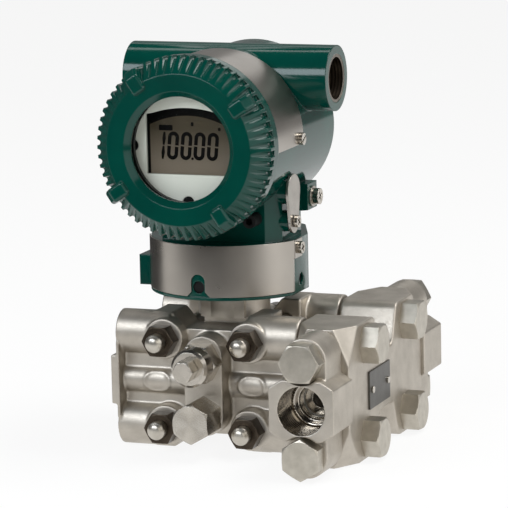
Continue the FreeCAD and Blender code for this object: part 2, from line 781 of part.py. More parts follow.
def front_cover():
    wall_inner = "(cap_depth - window_wall)"
    section = [
        ("front_spigot_radius + seal_relief", "0"), ("cap_radius - cap_rim_step", "0"),
        ("cap_radius - cap_rim_step", "cap_rim"), ("cap_radius", "cap_rim"), ("cap_radius", "cap_shoulder"),
        ("cap_face_radius", "cap_depth"), ("window_outer_radius", "cap_depth"),
        ("window_radius", f"{wall_inner} + window_land"), ("window_radius", wall_inner),
        ("glass_radius + glass_gap", wall_inner),
        ("glass_radius + glass_gap", "cap_shoulder - cap_skirt_length"),
        ("cap_skirt_radius", "cap_shoulder - cap_skirt_length"), ("cap_skirt_radius", "cap_shoulder"),
        ("front_spigot_radius + run_gap", "cap_shoulder"),
        ("front_spigot_radius + run_gap", "seal_relief_depth"),
        ("front_spigot_radius + seal_relief", "seal_relief_depth")]
    lug = ("lug_inner", "lug_outer", "cap_depth - lug_length", "cap_depth + lug_rise", "lug_bevel",
           "lug_round")
    at = ("0", f"-{CAP_REAR}", "barrel_height")
    sizes = ("cap_radius", "cap_rim", "cap_shoulder", "cap_depth", "cap_face_radius", "tooth_depth", at, "-Y",
             lug)
    return toothed_cap(sizes, section, "tooth_count")


def rear_cover():
    section = [
        ("rear_spigot_radius + seal_relief", "0"), ("rear_cap_radius - cap_rim_step", "0"),
        ("rear_cap_radius - cap_rim_step", "rear_cap_rim"), ("rear_cap_radius", "rear_cap_rim"),
        ("rear_cap_radius", "rear_cap_shoulder"), ("rear_cap_face_radius", "rear_cap_depth"),
        ("0", "rear_cap_depth"), ("0", "rear_cap_depth - rear_cap_wall"),
        ("rear_spigot_radius + run_gap", "rear_cap_depth - rear_cap_wall"),
        ("rear_spigot_radius + run_gap", "seal_relief_depth"),
        ("rear_spigot_radius + seal_relief", "seal_relief_depth")]
    low = "rear_cap_depth - rear_cap_wall / 2"
    lug = ("rear_cap_face_radius - rear_lug_length", "rear_cap_radius", low, "rear_cap_depth + lug_rise",
           "rear_lug_bevel", "rear_lug_round")
    at = ("0", REAR_CAP_FRONT, "barrel_height")
    sizes = ("rear_cap_radius", "rear_cap_rim", "rear_cap_shoulder", "rear_cap_depth", "rear_cap_face_radius",
             "rear_tooth_depth", at, "+Y", lug)
    return toothed_cap(sizes, section, "rear_tooth_count")


def cover_seal(spigot_radius, at, along):
    """The rubber ring in the groove at the root of a cover's thread."""
    return ring(f"{spigot_radius} - seal_groove_depth + seal_wire_radius + run_gap", "seal_wire_radius",
                at, along)


def cover_pieces():
    node("front_cover", front_cover())
    behind = ("0", "-glass_rear", "barrel_height")
    node("window_glass", cylinder("glass_radius", "glass_thickness", behind, "-Y"))
    inside = cylinder("glass_radius - retainer_width", "retainer_thickness", behind, "+Y")
    node("glass_retainer", cut(cylinder("glass_radius", "retainer_thickness", behind, "+Y"), inside))
    middle = "(seal_groove_place + seal_groove_width / 2)"
    node("front_cover_seal", cover_seal("front_spigot_radius",
                                        ("0", f"-{CAP_REAR} - {middle}", "barrel_height"), "-Y"))
    node("rear_cover", rear_cover())
    node("rear_cover_seal", cover_seal("rear_spigot_radius",
                                       ("0", f"{REAR_CAP_FRONT} + {middle}", "barrel_height"), "+Y"))


def lcd_form(edge, front, depth):
    """The indicator's display outline: a rectangle with a shallow arch for its top."""
    arch = f"((lcd_half_width ^ 2 + lcd_arch ^ 2) / (2 * lcd_arch) + {edge})"
    top = f"barrel_height + lcd_shoulder + lcd_arch + {edge}"
    sheet_form = block((f"-lcd_half_width - {edge}", f"lcd_half_width + {edge}"),
                       (f"-{front}", f"-{front} + {depth}"),
                       (f"barrel_height - lcd_bottom - {edge}", top))
    return common(sheet_form, cylinder(arch, depth, ("0", f"-{front}", f"{top} - {arch}"), "+Y"))


def indicator_pieces():
    """The display behind the window, on two boards carried by posts on the dividing wall."""
    front = ("0", "-bezel_front", "barrel_height")
    holes = [cylinder("bezel_screw_hole", "bezel_thickness",
                      (x, "-bezel_front", f"barrel_height + {z}"), "+Y") for x, z in POSTS]
    node("indicator_bezel", cut(cylinder("bezel_radius", "bezel_thickness", front, "+Y"),
                                lcd_form("0", "bezel_front", "bezel_thickness"), *holes))
    node("lcd_panel", lcd_form("lcd_edge", BEZEL_REAR, "lcd_thickness"))
    for name, front_y in (("indicator_board", LCD_REAR), ("main_board", "main_board_place")):
        board = cylinder("board_radius", "board_thickness", ("0", f"-{front_y}", "barrel_height"), "+Y")
        holes = [cylinder("post_radius + thread_clearance", "board_thickness",
                          (x, f"-{front_y}", f"barrel_height + {z}"), "+Y") for x, z in POSTS]
        node(name, cut(board, *holes))
    posts = []
    for x, z in POSTS:
        foot = (x, "-wall_front", f"barrel_height + {z}")
        root = cylinder("post_radius - 2 * thread_clearance", "wall_front - wall_rear", foot, "+Y")
        posts.append(fuse(cylinder("post_radius", f"{BEZEL_REAR} - wall_front", foot, "-Y"), root))
    node("board_posts", group(*posts))
    heads = [cylinder("bezel_screw_radius", "bezel_thickness",
                      (x, f"-{BEZEL_REAR}", f"barrel_height + {z}"), "-Y") for x, z in POSTS]
    node("bezel_screws", group(*heads))


def terminal_pieces():
    """The block in the rear chamber where the supply and output wires are clamped."""
    rear = "(block_depth - wall_rear)"
    body = block(("-block_half_width", "block_half_width"), ("-wall_rear", rear),
                 ("block_bottom", "block_top"))
    walls = [block((f"{x} - barrier_thickness / 2", f"{x} + barrier_thickness / 2"),
                   (rear, f"{rear} + barrier_height"), ("block_bottom", "block_top")) for x in BARRIERS]
    spots = [(x, rear, "terminal_height") for x in TERMINALS]
    holes = [screw_hole("terminal_shank_radius", "terminal_shank_length", spot, "+Y") for spot in spots]
    node("terminal_block", cut(fuse(body, *walls), *holes))
    screws = [screw("terminal_head_radius", "terminal_head_height", "terminal_shank_radius",
                    "terminal_shank_length", spot, "+Y") for spot in spots]
    node("terminal_screws", group(*screws))


def flared_notch(low):
    """The straight part of the collar band's notch, splayed at its foot."""
    notch = new_body(("-notch_place", "0", "0"))
    splay = "(notch_half_width + notch_flare)"
    corners = [(f"-{splay}", low), (splay, low), ("notch_half_width", f"{low} + notch_flare"),
               ("notch_half_width", "notch_height"), ("-notch_half_width", "notch_height"),
               ("-notch_half_width", f"{low} + notch_flare")]
    pad(notch, outline(notch, "XZ_Plane", corners), "band_radius")
    return notch


def bands():
    """The two stainless sheets: over the barrel's top and round the front of the collar."""
    front = ("0", "-barrel_front", "barrel_height")
    width = "barrel_front - name_band_rear"
    tube = cut(cylinder(NAME_BAND_RADIUS, width, front, "+Y"),
               cylinder("barrel_radius + band_gap", width, front, "+Y"))
    lower = block((f"-{NAME_BAND_RADIUS}", NAME_BAND_RADIUS), ("-barrel_front", "-name_band_rear"),
                  (f"barrel_height - {NAME_BAND_RADIUS}", "name_band_end"))
    holes = [cylinder("small_shank_radius + thread_clearance", f"2 * {NAME_BAND_RADIUS}",
                      ("0", *at[1:]), along) for at, along in NAME_SCREWS]
    node("nameplate_band", cut(tube, lower, *holes))
    low = "(collar_bottom + collar_lip + collar_band_gap)"
    bottom = ("0", "0", low)
    height = f"collar_top - {low}"
    hoop = cut(cylinder("band_radius", height, bottom),
               cylinder("collar_radius + collar_band_gap", height, bottom),
               block(("-band_radius", "0"), ("-collar_band_end", "band_radius"),
                     (low, "collar_top")),
               block(("0", "band_radius"), ("-collar_tab_front", "band_radius"),
                     (low, "collar_top")),
               block(("collar_flat + collar_band_gap", "band_radius"),
                     ("-collar_radius", "0"), (low, "collar_tab_bottom")),
               flared_notch(low),
               cylinder("notch_half_width", "band_radius", ("-notch_place", "0", "notch_height"), "-Y"))
    tab = block(("collar_flat + collar_band_gap", "tab_face"),
                ("-collar_tab_front - band_thickness", "-collar_tab_rear"),
                ("collar_tab_bottom", "collar_top"))
    tab_hole = cylinder("small_shank_radius + thread_clearance", "2 * collar_flat",
                        ("0", *TAB_SCREW[0][1:]), "+X")
    node("collar_band", cut(fuse(hoop, tab), tab_hole))


def housing_screws():
    name_lift = f"({NAME_BAND_RADIUS} - barrel_radius)"
    node("nameplate_screws", group(*[small_screw(*spot, name_lift) for spot in NAME_SCREWS]))
    node("collar_band_screw", small_screw(*TAB_SCREW, "(collar_band_gap + band_thickness)"))
    node("cover_lock_screw", screw("lock_screw_radius", "lock_screw_head", "small_shank_radius",
                                   "small_shank_length", *LOCK_SCREW))
    start = f"({NECK_BORE} + run_gap)"
    front_end = "collar_radius - set_screw_recess"
    side_end = "collar_flat - set_screw_recess"
    node("collar_set_screws", group(
        cylinder("set_screw_radius", f"{front_end} - {start}",
                 ("-notch_place", f"-{start}", "set_screw_height"), "-Y"),
        cylinder("set_screw_radius", f"{side_end} - {start}",
                 (start, "-set_screw_side_place", "set_screw_height"), "+X")))
    seat, along = GROUND_SCREW
    hole = cylinder("small_shank_radius + thread_clearance", "ground_washer_thickness", seat, along)
    node("ground_washer", cut(cylinder("ground_washer_radius", "ground_washer_thickness", seat, along), hole))
    node("ground_screw", screw("ground_head_radius", "ground_head_height", "small_shank_radius",
                               "small_shank_length", seat, along, "ground_washer_thickness"))


def zero_adjuster():
    """The adjusting screw and the stainless leaf that swings over it."""
    node("zero_adjust_screw", cylinder("zero_screw_radius", "zero_screw_length", *ZERO_SCREW))
    back = "zero_face + run_gap"
    pivot = (back, "-zero_place", "leaf_pivot_height")
    blade = new_body(pivot)
    rise = "(zero_height - leaf_pivot_height)"
    sides = [("-leaf_foot_radius", "0"), ("leaf_foot_radius", "0"), ("leaf_head_radius", rise),
             ("-leaf_head_radius", rise)]
    pad(blade, outline(blade, "YZ_Plane", sides), "leaf_thickness")
    leaf = fuse(blade, cylinder("leaf_foot_radius", "leaf_thickness", pivot, "+X"),
                cylinder("leaf_head_radius", "leaf_thickness", (back, "-zero_place", "zero_height"), "+X"))
    pivot_hole = cylinder("small_shank_radius + run_gap", "leaf_thickness", pivot, "+X")
    node("zero_cover_leaf", cut(leaf, pivot_hole))
    node("leaf_screw", small_screw(*LEAF_SCREW, "(leaf_thickness + 2 * run_gap)"))


def capsule_body():
    """The welded measuring capsule with its neck, and the spigot that the housing turns on."""
    return fuse(
        cylinder("capsule_radius", "capsule_thickness", ("0", "-capsule_thickness / 2", "0"), "+Y"),
        block(("-neck_width / 2", "neck_width / 2"), ("-capsule_thickness / 2", "capsule_thickness / 2"),
              ("0", "neck_foot + run_gap")),
        block(("-neck_width / 2", "neck_width / 2"), ("-neck_depth / 2", "neck_depth / 2"),
              ("neck_foot", "neck_top")),
        cylinder("spigot_radius", "spigot_top - neck_foot", ("0", "0", "neck_foot")),
    )


def front_flange():
    """A cast cover flange: two bolt bosses on each side of a boss for the vent and drain plugs."""
    dip = "stand_height - flange_dip"
    slope_x = "flange_dip_half + flange_dip_slope"
    end_x = f"({FLANGE_X} - end_inset)"
    inner_face = f"(boss_radius - {PORT_Y})"
    right = [("flange_dip_half", dip), (slope_x, "stand_height"), ("end_relief", "stand_height"),
             ("end_relief", "-stand_height"), (slope_x, "-stand_height"), ("flange_dip_half", f"-({dip})")]
    left = [(f"-({x})", z) for x, z in reversed(right)]
    plate = new_body(("0", f"-{FLANGE_BACK}", "0"))
    pad(plate, outline(plate, "XZ_Plane", right + left), f"flange_face - {FLANGE_BACK}")
    web = block((f"-{end_x}", end_x), ("-flange_face", inner_face), (f"-{BOLT_Z}", BOLT_Z))
    bosses = [cylinder("boss_radius", f"{end_x} - ({slope_x})",
                       (f"{side}({slope_x})", f"-{PORT_Y}", f"{level}{BOLT_Z}"), along)
              for side, along in (("", "+X"), ("-", "-X")) for level in ("", "-")]
    spots = [cylinder("spot_radius", "spot_face - flange_face + run_gap",
                      (f"{x}stud_place_x", "-flange_face + run_gap", f"{z}stud_place_z"), "-Y")
             for x, z in FOUR_WAYS]
    pads = [(f"({FLANGE_X} - end_lip)", end_x, "end_pad_half_height"),
            (end_x, FLANGE_X, "end_lip_half_height")]
    lips = [block(span, ("-spot_face", inner_face), (f"-{half}", half))
            for near, far, half in pads for span in ((near, far), (f"-{far}", f"-{near}"))]
    rib = cylinder("rib_radius", f"2 * {end_x}", (f"-{end_x}", RIB_Y, "-rib_drop"), "+X")
    ovals = [raised_oval(middle) for middle in ("-oval_left", "oval_right")]
    plug_boss = [cylinder("plug_boss_radius", f"plug_face - {FLANGE_BACK}", ("0", f"-{FLANGE_BACK}", z), "-Y")
                 for z in ("plug_place", "-plug_place")]
    plug_boss.append(block(("-plug_boss_radius", "plug_boss_radius"), ("-plug_face", f"-{FLANGE_BACK}"),
                           ("-plug_place", "plug_place")))
    stud_holes = [cylinder("stud_radius + thread_clearance", "2 * plug_face",
                           (f"{x}stud_place_x", "0", f"{z}stud_place_z"), "-Y") for x, z in FOUR_WAYS]
    end_threads = [cylinder("thread_radius + thread_clearance", "flange_thread_depth + thread_clearance",
                            (f"{side}{FLANGE_X}", f"-{PORT_Y}", f"{level}{BOLT_Z}"), along)
                   for side, along in (("", "-X"), ("-", "+X")) for level in ("", "-")]
    plug_threads = [cylinder("plug_thread_radius + thread_clearance", "plug_thread_length + cutter_reach",
                             ("0", "-plug_face", z), "+Y") for z in ("vent_place", "-plug_place")]
    chamber = [cylinder("tap_radius", FLANGE_X, ("0", f"-{PORT_Y}", "0"), "+X"),
               cylinder("tap_radius", PORT_Y, ("0", f"-{PORT_Y}", "0"), "+Y"),
               cylinder("tap_radius", "2 * plug_place", ("0", f"-{PORT_Y}", "-plug_place")),
               cylinder("gasket_seat_radius", "gasket_seat_depth", (FLANGE_X, f"-{PORT_Y}", "0"), "-X")]
    solid = fuse(plate, web, rib, *bosses, *spots, *lips, *ovals, *plug_boss)
    return cut(solid, *stud_holes, *end_threads, *plug_threads, *chamber)


def oval_form(middle, radius):
    """An upright oval bar that stands on the flange's face, centred on the rib."""
    rise = "oval_rise + rib_rise"
    half = "(oval_length / 2 - oval_height / 2)"
    ends = [cylinder(radius, rise, (f"{middle} {way} {half}", "-flange_face", "-rib_drop"), "-Y")
            for way in ("+", "-")]
    centre = block((f"{middle} - {half}", f"{middle} + {half}"), (f"-flange_face - ({rise})", "-flange_face"),
                   (f"-rib_drop - {radius}", f"{radius} - rib_drop"))
    return fuse(*ends, centre)


def raised_oval(middle):
    """The cast rim of a bare oval, following the roundness of the flange's middle rib."""
    rim = cut(oval_form(middle, "(oval_height / 2)"), oval_form(middle, "(oval_height / 2 - oval_rim)"))
    start = (f"{middle} - oval_length / 2", RIB_Y, "-rib_drop")
    skin = cylinder("rib_radius + oval_rise", "oval_length", start, "+X")
    return common(rim, skin)


def plug_pieces():
    """Vent plug with its bleed screw above, plain drain plug below, on both flanges."""
    hex_seat = ("0", "-plug_face", "vent_place")
    collar_seat = ("0", "-plug_face - vent_hex_length", "vent_place")
    vent = cut(fuse(hex_head("plug_flats", "vent_hex_length", hex_seat, "-Y"),
                    cylinder("plug_thread_radius", "plug_thread_length", hex_seat, "+Y"),
                    cylinder("vent_collar_radius", "vent_collar_length - plug_chamfer", collar_seat, "-Y"),
                    cone("vent_collar_radius", "vent_collar_radius - plug_chamfer", "plug_chamfer",
                         ("0", f"plug_chamfer - {VENT_FACE}", "vent_place"), "-Y")),
               cylinder("vent_stem_radius + run_gap", "vent_stem_depth + run_gap",
                        ("0", f"-{VENT_FACE}", "vent_place"), "+Y"))
    head_seat = ("0", f"-{VENT_FACE} - run_gap", "vent_place")
    bleed = fuse(hex_head("vent_head_flats", "vent_head_length", head_seat, "-Y"),
                 cylinder("vent_stem_radius", "vent_stem_depth", head_seat, "+Y"))
    low = ("0", "-plug_face", "-plug_place")
    drain = fuse(
        common(hexagon("plug_flats", "plug_length", low, "-Y", POINTED_UP),
               cone("plug_flats / 2 + plug_length", "plug_flats / 2", "plug_length", low, "-Y")),
        cylinder("plug_thread_radius", "plug_thread_length", low, "+Y"))
    for kind, piece in (("vent_plug", vent), ("vent_screw", bleed), ("drain_plug", drain)):
        node(f"front_{kind}", piece)
        node(f"rear_{kind}", mirrored(piece))


def capsule_fasteners():
    """Four long bolts with heads behind and nuts in front, drawing the flanges onto the capsule."""
    bolts, nuts = [], []
    for x, z in FOUR_WAYS:
        spot = (f"{x}stud_place_x", f"{z}stud_place_z")
        head = hex_head("nut_flats", "nut_height", (spot[0], "spot_face", spot[1]), "+Y", POINTED_UP)
        shank = cylinder("stud_radius", "stud_tip - stud_dome + spot_face",
                         (spot[0], "spot_face", spot[1]), "-Y")
        tip = dome("stud_radius", "stud_dome", (spot[0], "stud_dome - stud_tip", spot[1]), "-Y")
        bolts.append(fuse(head, shank, tip))
        seat = (spot[0], "-spot_face", spot[1])
        nuts.append(cut(hex_head("nut_flats", "nut_height", seat, "-Y"),
                        cylinder("stud_radius + thread_clearance", "nut_height", seat, "-Y")))
    node("capsule_bolts", group(*bolts))
    node("capsule_nuts", group(*nuts))


def capsule_pieces():
    node("capsule_body", capsule_body())
    flange = node("front_flange", front_flange())
    node("rear_flange", mirrored(flange))
    seat = ("0", "-capsule_thickness / 2", "0")
    gasket = cut(cylinder("capsule_radius", "gasket_thickness", seat, "-Y"),
                 cylinder("capsule_radius - gasket_width", "gasket_thickness", seat, "-Y"))
    node("front_flange_gasket", gasket)
    node("rear_flange_gasket", mirrored(gasket))
    plug_pieces()
    capsule_fasteners()


def manifold_body():
    """Two bolted columns joined by the flow tube, each ending in a face with trimmed corners."""
    body = new_body((FLANGE_X, "0", "0"))
    top = [("-manifold_column", "stand_height"), ("-column_inner_top", "stand_height"),
           ("-waist_half_width", "waist_height"), ("waist_half_width", "waist_height"),
           ("column_inner_top", "stand_height"), ("manifold_column", "stand_height")]
    bottom = [("manifold_column", "-stand_height"), ("column_inner_foot", "-stand_height"),
              ("waist_half_width", "-waist_height"), ("-waist_half_width", "-waist_height"),
              ("-column_inner_foot", "-stand_height"), ("-manifold_column", "-stand_height")]
    columns = pad(body, outline(body, "YZ_Plane", top + bottom), "manifold_depth")
    inner = [("0", y, z) for y, z in (top[1], top[4], bottom[1], bottom[4])]
    columns = round_edges(body, columns, "column_round", ALONG["+X"], inner)
    waist = [("0", y, z) for y, z in (top[2], top[3], bottom[2], bottom[3])]
    round_edges(body, columns, "waist_round", ALONG["+X"], waist)
    for side in ("", "-"):
        wide = outline(body, "XZ_Plane", trimmed_face("column_corner", "column_corner"),
                       f"{side}manifold_column")
        end = outline(body, "XZ_Plane", trimmed_face("end_corner_width", "end_corner_height"),
                      f"{side}manifold_end")
        loft = body.newObject("PartDesign::AdditiveLoft", "end")
        loft.Profile = wide
        loft.Sections = [end]
        loft.Ruled = True
    run = [cylinder("flow_radius", "2 * manifold_end", (RUN_X, "-manifold_end", "0"), "+Y")]
    run += [cylinder("tap_radius", "manifold_depth / 2", (FLANGE_X, f"{side}{PORT_Y}", "0"), "+X")
            for side in ("", "-")]
    run += [cylinder("seal_seat_radius", "seal_seat_depth", (RUN_X, f"{side}manifold_end", "0"), along)
            for side, along in (("-", "+Y"), ("", "-Y"))]
    run += [cylinder("bolt_hole_radius", "manifold_depth",
                     (FLANGE_X, f"{side}{PORT_Y}", f"{level}{BOLT_Z}"), "+X") for side, level in FOUR_WAYS]
    run += [cylinder("thread_radius + thread_clearance", "process_thread_depth + thread_clearance",
                     (RUN_X, f"{side}manifold_end", f"{level}{BOLT_Z}"), along)
            for side, along in (("-", "+Y"), ("", "-Y")) for level in ("", "-")]
    run += [cylinder("tag_rivet_radius / 2", "tag_rivet_inset", (MANIFOLD_X, y, TAG_MIDDLE), "-X")
            for y in TAG_RIVETS]
    return cut(body, *run)


def trimmed_face(corner_x, corner_z):
    """The manifold's end outline with its four corners cut by the given amounts."""
    right = [("manifold_depth", f"{corner_z} - stand_height"),
             ("manifold_depth", f"stand_height - {corner_z}"),
             (f"manifold_depth - {corner_x}", "stand_height")]
    left = [(corner_x, "stand_height"), ("0", f"stand_height - {corner_z}"),
            ("0", f"{corner_z} - stand_height")]
    return right + left + [(corner_x, "-stand_height"), (f"manifold_depth - {corner_x}", "-stand_height")]


def process_flange():
    """An oval two-bolt flange with an eight-sided boss round its pipe thread."""
    boss = new_body((RUN_X, "-manifold_end", "0"))
    half_x, half_z = "process_boss_width / 2", "process_boss_height / 2"
    quarter = [(half_x, f"{half_z} - process_boss_corner_z"), (f"{half_x} - process_boss_corner_x", half_z)]
    upper = quarter + [(f"-({x})", z) for x, z in reversed(quarter)]
    lower = [(f"-({x})", f"-({z})") for x, z in upper]
    pad(boss, outline(boss, "XZ_Plane", upper + lower), "process_face - manifold_end")
    length = "process_lobe_face - manifold_end"
    lobes = [cylinder("boss_radius", length, (RUN_X, "-manifold_end", f"{level}{BOLT_Z}"), "-Y")
             for level in ("", "-")]
    lobes.append(block((f"{RUN_X} - boss_radius", f"{RUN_X} + boss_radius"),
                       ("-process_lobe_face", "-manifold_end"), (f"-{BOLT_Z}", BOLT_Z)))
    holes = [cylinder("bolt_hole_radius", "process_face", (RUN_X, "0", f"{level}{BOLT_Z}"), "-Y")
             for level in ("", "-")]
    spots = [cylinder("bolt_head_flats / sqrt(3) + bolt_head_room", "bolt_head_height",
                      (RUN_X, "-process_lobe_face", f"{level}{BOLT_Z}"), "-Y") for level in ("", "-")]
    return cut(fuse(boss, *lobes), *holes, *spots,
               cylinder("flow_radius", "process_face", (RUN_X, "0", "0"), "-Y"),
               cylinder("process_port_radius", "process_port_depth", (RUN_X, "-process_face", "0"), "+Y"))


def seal_ring(hole_radius, thickness, front):
    """A flat ring in the seat at one end of the manifold."""
    at = (RUN_X, front, "0")
    return cut(cylinder(RING_SEAT, thickness, at, "+Y"), cylinder(hole_radius, thickness, at, "+Y"))


def manifold_pieces():
    node("manifold_body", manifold_body())
    flange = node("front_process_flange", process_flange())
    node("rear_process_flange", mirrored(flange))
    plate_front = f"-manifold_end + {ORIFICE_RING}"
    node("orifice_plate", seal_ring("orifice_radius", "orifice_thickness", plate_front))
    rear_ring = f"{plate_front} + orifice_thickness"
    node("orifice_gaskets", group(seal_ring("flow_radius", ORIFICE_RING, "-manifold_end"),
                                  seal_ring("flow_radius", ORIFICE_RING, rear_ring)))
    node("outlet_gasket", seal_ring("flow_radius", "seal_seat_depth", "manifold_end - seal_seat_depth"))
    rings = []
    for side in ("", "-"):
        at = (f"{FLANGE_X} - gasket_seat_depth", f"{side}{PORT_Y}", "0")
        rings.append(cut(cylinder("gasket_seat_radius - thread_clearance", "gasket_seat_depth", at, "+X"),
                         cylinder("tap_radius", "gasket_seat_depth", at, "+X")))
    node("manifold_gaskets", group(*rings))
    tag = block((MANIFOLD_X, f"{MANIFOLD_X} + tag_thickness"), ("tag_front", "tag_rear"),
                ("tag_bottom", "tag_top"))
    holes = [cylinder("tag_rivet_radius / 2 + thread_clearance", "tag_thickness",
                      (MANIFOLD_X, y, TAG_MIDDLE), "+X") for y in TAG_RIVETS]
    node("tag_plate", cut(tag, *holes))
    rivets = [screw("tag_rivet_radius", "tag_rivet_radius / 2", "tag_rivet_radius / 2 - thread_clearance",
                    "tag_rivet_inset / 2", (MANIFOLD_X, y, TAG_MIDDLE), "+X", "tag_thickness")
              for y in TAG_RIVETS]
    node("tag_rivets", group(*rivets))


def manifold_bolts():
    """Hexagon bolts: four across into the cover flanges, two through each process flange."""
    across = []
    for side, level in FOUR_WAYS:
        seat = (MANIFOLD_X, f"{side}{PORT_Y}", f"{level}{BOLT_Z}")
        across.append(fuse(hex_head("bolt_head_flats", "bolt_head_height", seat, "+X", POINTED_UP),
                           cylinder("thread_radius", "manifold_depth + flange_thread_depth", seat, "-X")))
    node("manifold_bolts", group(*across))
    length = "process_lobe_face - manifold_end + process_thread_depth"
    along_run = []
    for side, out, back in (("-", "-Y", "+Y"), ("", "+Y", "-Y")):
        for level, roll in (("", 0.0), ("-", POINTED_UP)):
            seat = (RUN_X, f"{side}process_lobe_face", f"{level}{BOLT_Z}")
            along_run.append(fuse(hex_head("bolt_head_flats", "bolt_head_height", seat, out, roll),
                                  cylinder("thread_radius", length, seat, back)))
    node("process_flange_bolts", group(*along_run))


def check_document():
    """Stops if any object failed, or if a sub-part is empty or unsound."""
    for thing in doc.Objects:
        if {"Invalid", "Error"} & set(thing.State):
            raise RuntimeError(f"{thing.Name} did not build: {thing.State}")
    for name, thing in nodes.items():
        if thing.Shape.isNull() or not thing.Shape.isValid() or not thing.Shape.Solids:
            raise RuntimeError(f"{name} is not a sound solid")


def write_parts():
    os.makedirs("parts", exist_ok=True)
    for name, thing in nodes.items():
        thing.Shape.exportStep(f"parts/{name}.step")


fill_sheet()
node("amplifier_housing", amplifier_housing())
cover_pieces()
indicator_pieces()
terminal_pieces()
bands()
housing_screws()
zero_adjuster()
capsule_pieces()
manifold_pieces()
manifold_bolts()
doc.recompute()
check_document()
write_parts()
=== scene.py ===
"""Looks of the flow transmitter: finishes, softened castings, the display and the studio round it."""
import bpy
import json
import math
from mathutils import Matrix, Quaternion, Vector


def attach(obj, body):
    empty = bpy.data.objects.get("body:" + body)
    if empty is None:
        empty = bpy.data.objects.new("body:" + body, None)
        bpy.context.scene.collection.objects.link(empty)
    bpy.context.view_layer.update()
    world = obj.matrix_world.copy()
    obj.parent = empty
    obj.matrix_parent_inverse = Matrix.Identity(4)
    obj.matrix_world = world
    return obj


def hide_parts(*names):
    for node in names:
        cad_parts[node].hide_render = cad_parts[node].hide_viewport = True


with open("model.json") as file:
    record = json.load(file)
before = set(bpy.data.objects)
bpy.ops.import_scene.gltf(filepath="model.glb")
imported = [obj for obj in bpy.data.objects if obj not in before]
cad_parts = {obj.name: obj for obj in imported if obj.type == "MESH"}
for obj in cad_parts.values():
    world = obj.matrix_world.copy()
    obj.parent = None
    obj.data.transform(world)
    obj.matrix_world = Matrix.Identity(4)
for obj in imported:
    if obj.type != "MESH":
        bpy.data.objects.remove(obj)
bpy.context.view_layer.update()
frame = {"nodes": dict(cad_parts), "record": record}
shown = frame["nodes"]
body_of = {node: body for body, nodes in frame["record"]["behaviour"]["bodies"].items() for node in nodes}

# The capsule's axis at the flanges' half height, in the part's own frame, in millimetres
CAPSULE = Vector((-15.6, 0.0, 30.3))
# Places and sizes of the solids, measured from the capsule's axis in millimetres
BARREL_Z = 107.2
CONDUIT_Y, CONDUIT_Z, CONDUIT_END, CONDUIT_BORE = 6.3, 130.7, 47.6, 9.3
RUN_X, PORT_RADIUS = 57.9, 10.45
DISPLAY_FRONT, POST_CIRCLE = -50.0, 24.2
# The paint on the conduit's end rings stops at this radius, where a shallow step is milled
CONDUIT_TRIM, TRIM_DEPTH, CUTTER_LENGTH = 10.7, 0.15, 4.0
# The floors of the conduit's bores lie further out than this
CONDUIT_INNER = 20
# Faces of a bore are looked for this near its radius; softened ones stray further
BORE_MARGIN, PORT_MARGIN = 0.1, 0.3
# Corners closer together than this are one, and corners this near a line lie on it
WELD, HAIR = 0.002, 0.01
# Marks lie this far in front of the display and are this thick
INK_LIFT, INK_THICKNESS = 0.06, 0.05
# Edges that turn more than this stay sharp
CREASE = math.radians(30)
QUARTER = math.pi / 2
# Noise lies mostly between these values
NOISE_LOW, NOISE_HIGH = 0.3, 0.7
# Blender's band waves repeat after this share of a unit at scale 1
WAVE = math.pi / 10


def mm(value):
    """Millimetres as metres."""
    return value / 1000


def spot(x, y, z):
    """A point measured in millimetres from the capsule's axis, in metres in the part's frame."""
    return (CAPSULE + Vector((x, y, z))) / 1000


def linear(code):
    """An sRGB hex colour as linear red, green, blue and full opacity."""
    channels = [int(code[start:start + 2], 16) / 255 for start in (1, 3, 5)]
    return [c / 12.92 if c <= 0.04045 else ((c + 0.055) / 1.055) ** 2.4 for c in channels] + [1.0]


def add_node(tree, kind, inputs=None, ramp=None, **settings):
    """Adds one node: settings go on the node, inputs are values or sockets to link, ramp its colours."""
    made = tree.nodes.new(kind)
    for name, value in settings.items():
        setattr(made, name, value)
    for name, value in (inputs or {}).items():
        if isinstance(value, bpy.types.NodeSocket):
            tree.links.new(value, made.inputs[name])
        else:
            made.inputs[name].default_value = value
    for stop, (place, colour) in zip(made.color_ramp.elements if ramp else (), ramp or ()):
        stop.position = place
        stop.color = linear(colour)
    return made


def empty_material(name):
    """A new material without any node."""
    made = bpy.data.materials.new(name)
    made.use_nodes = True
    made.node_tree.nodes.clear()
    return made


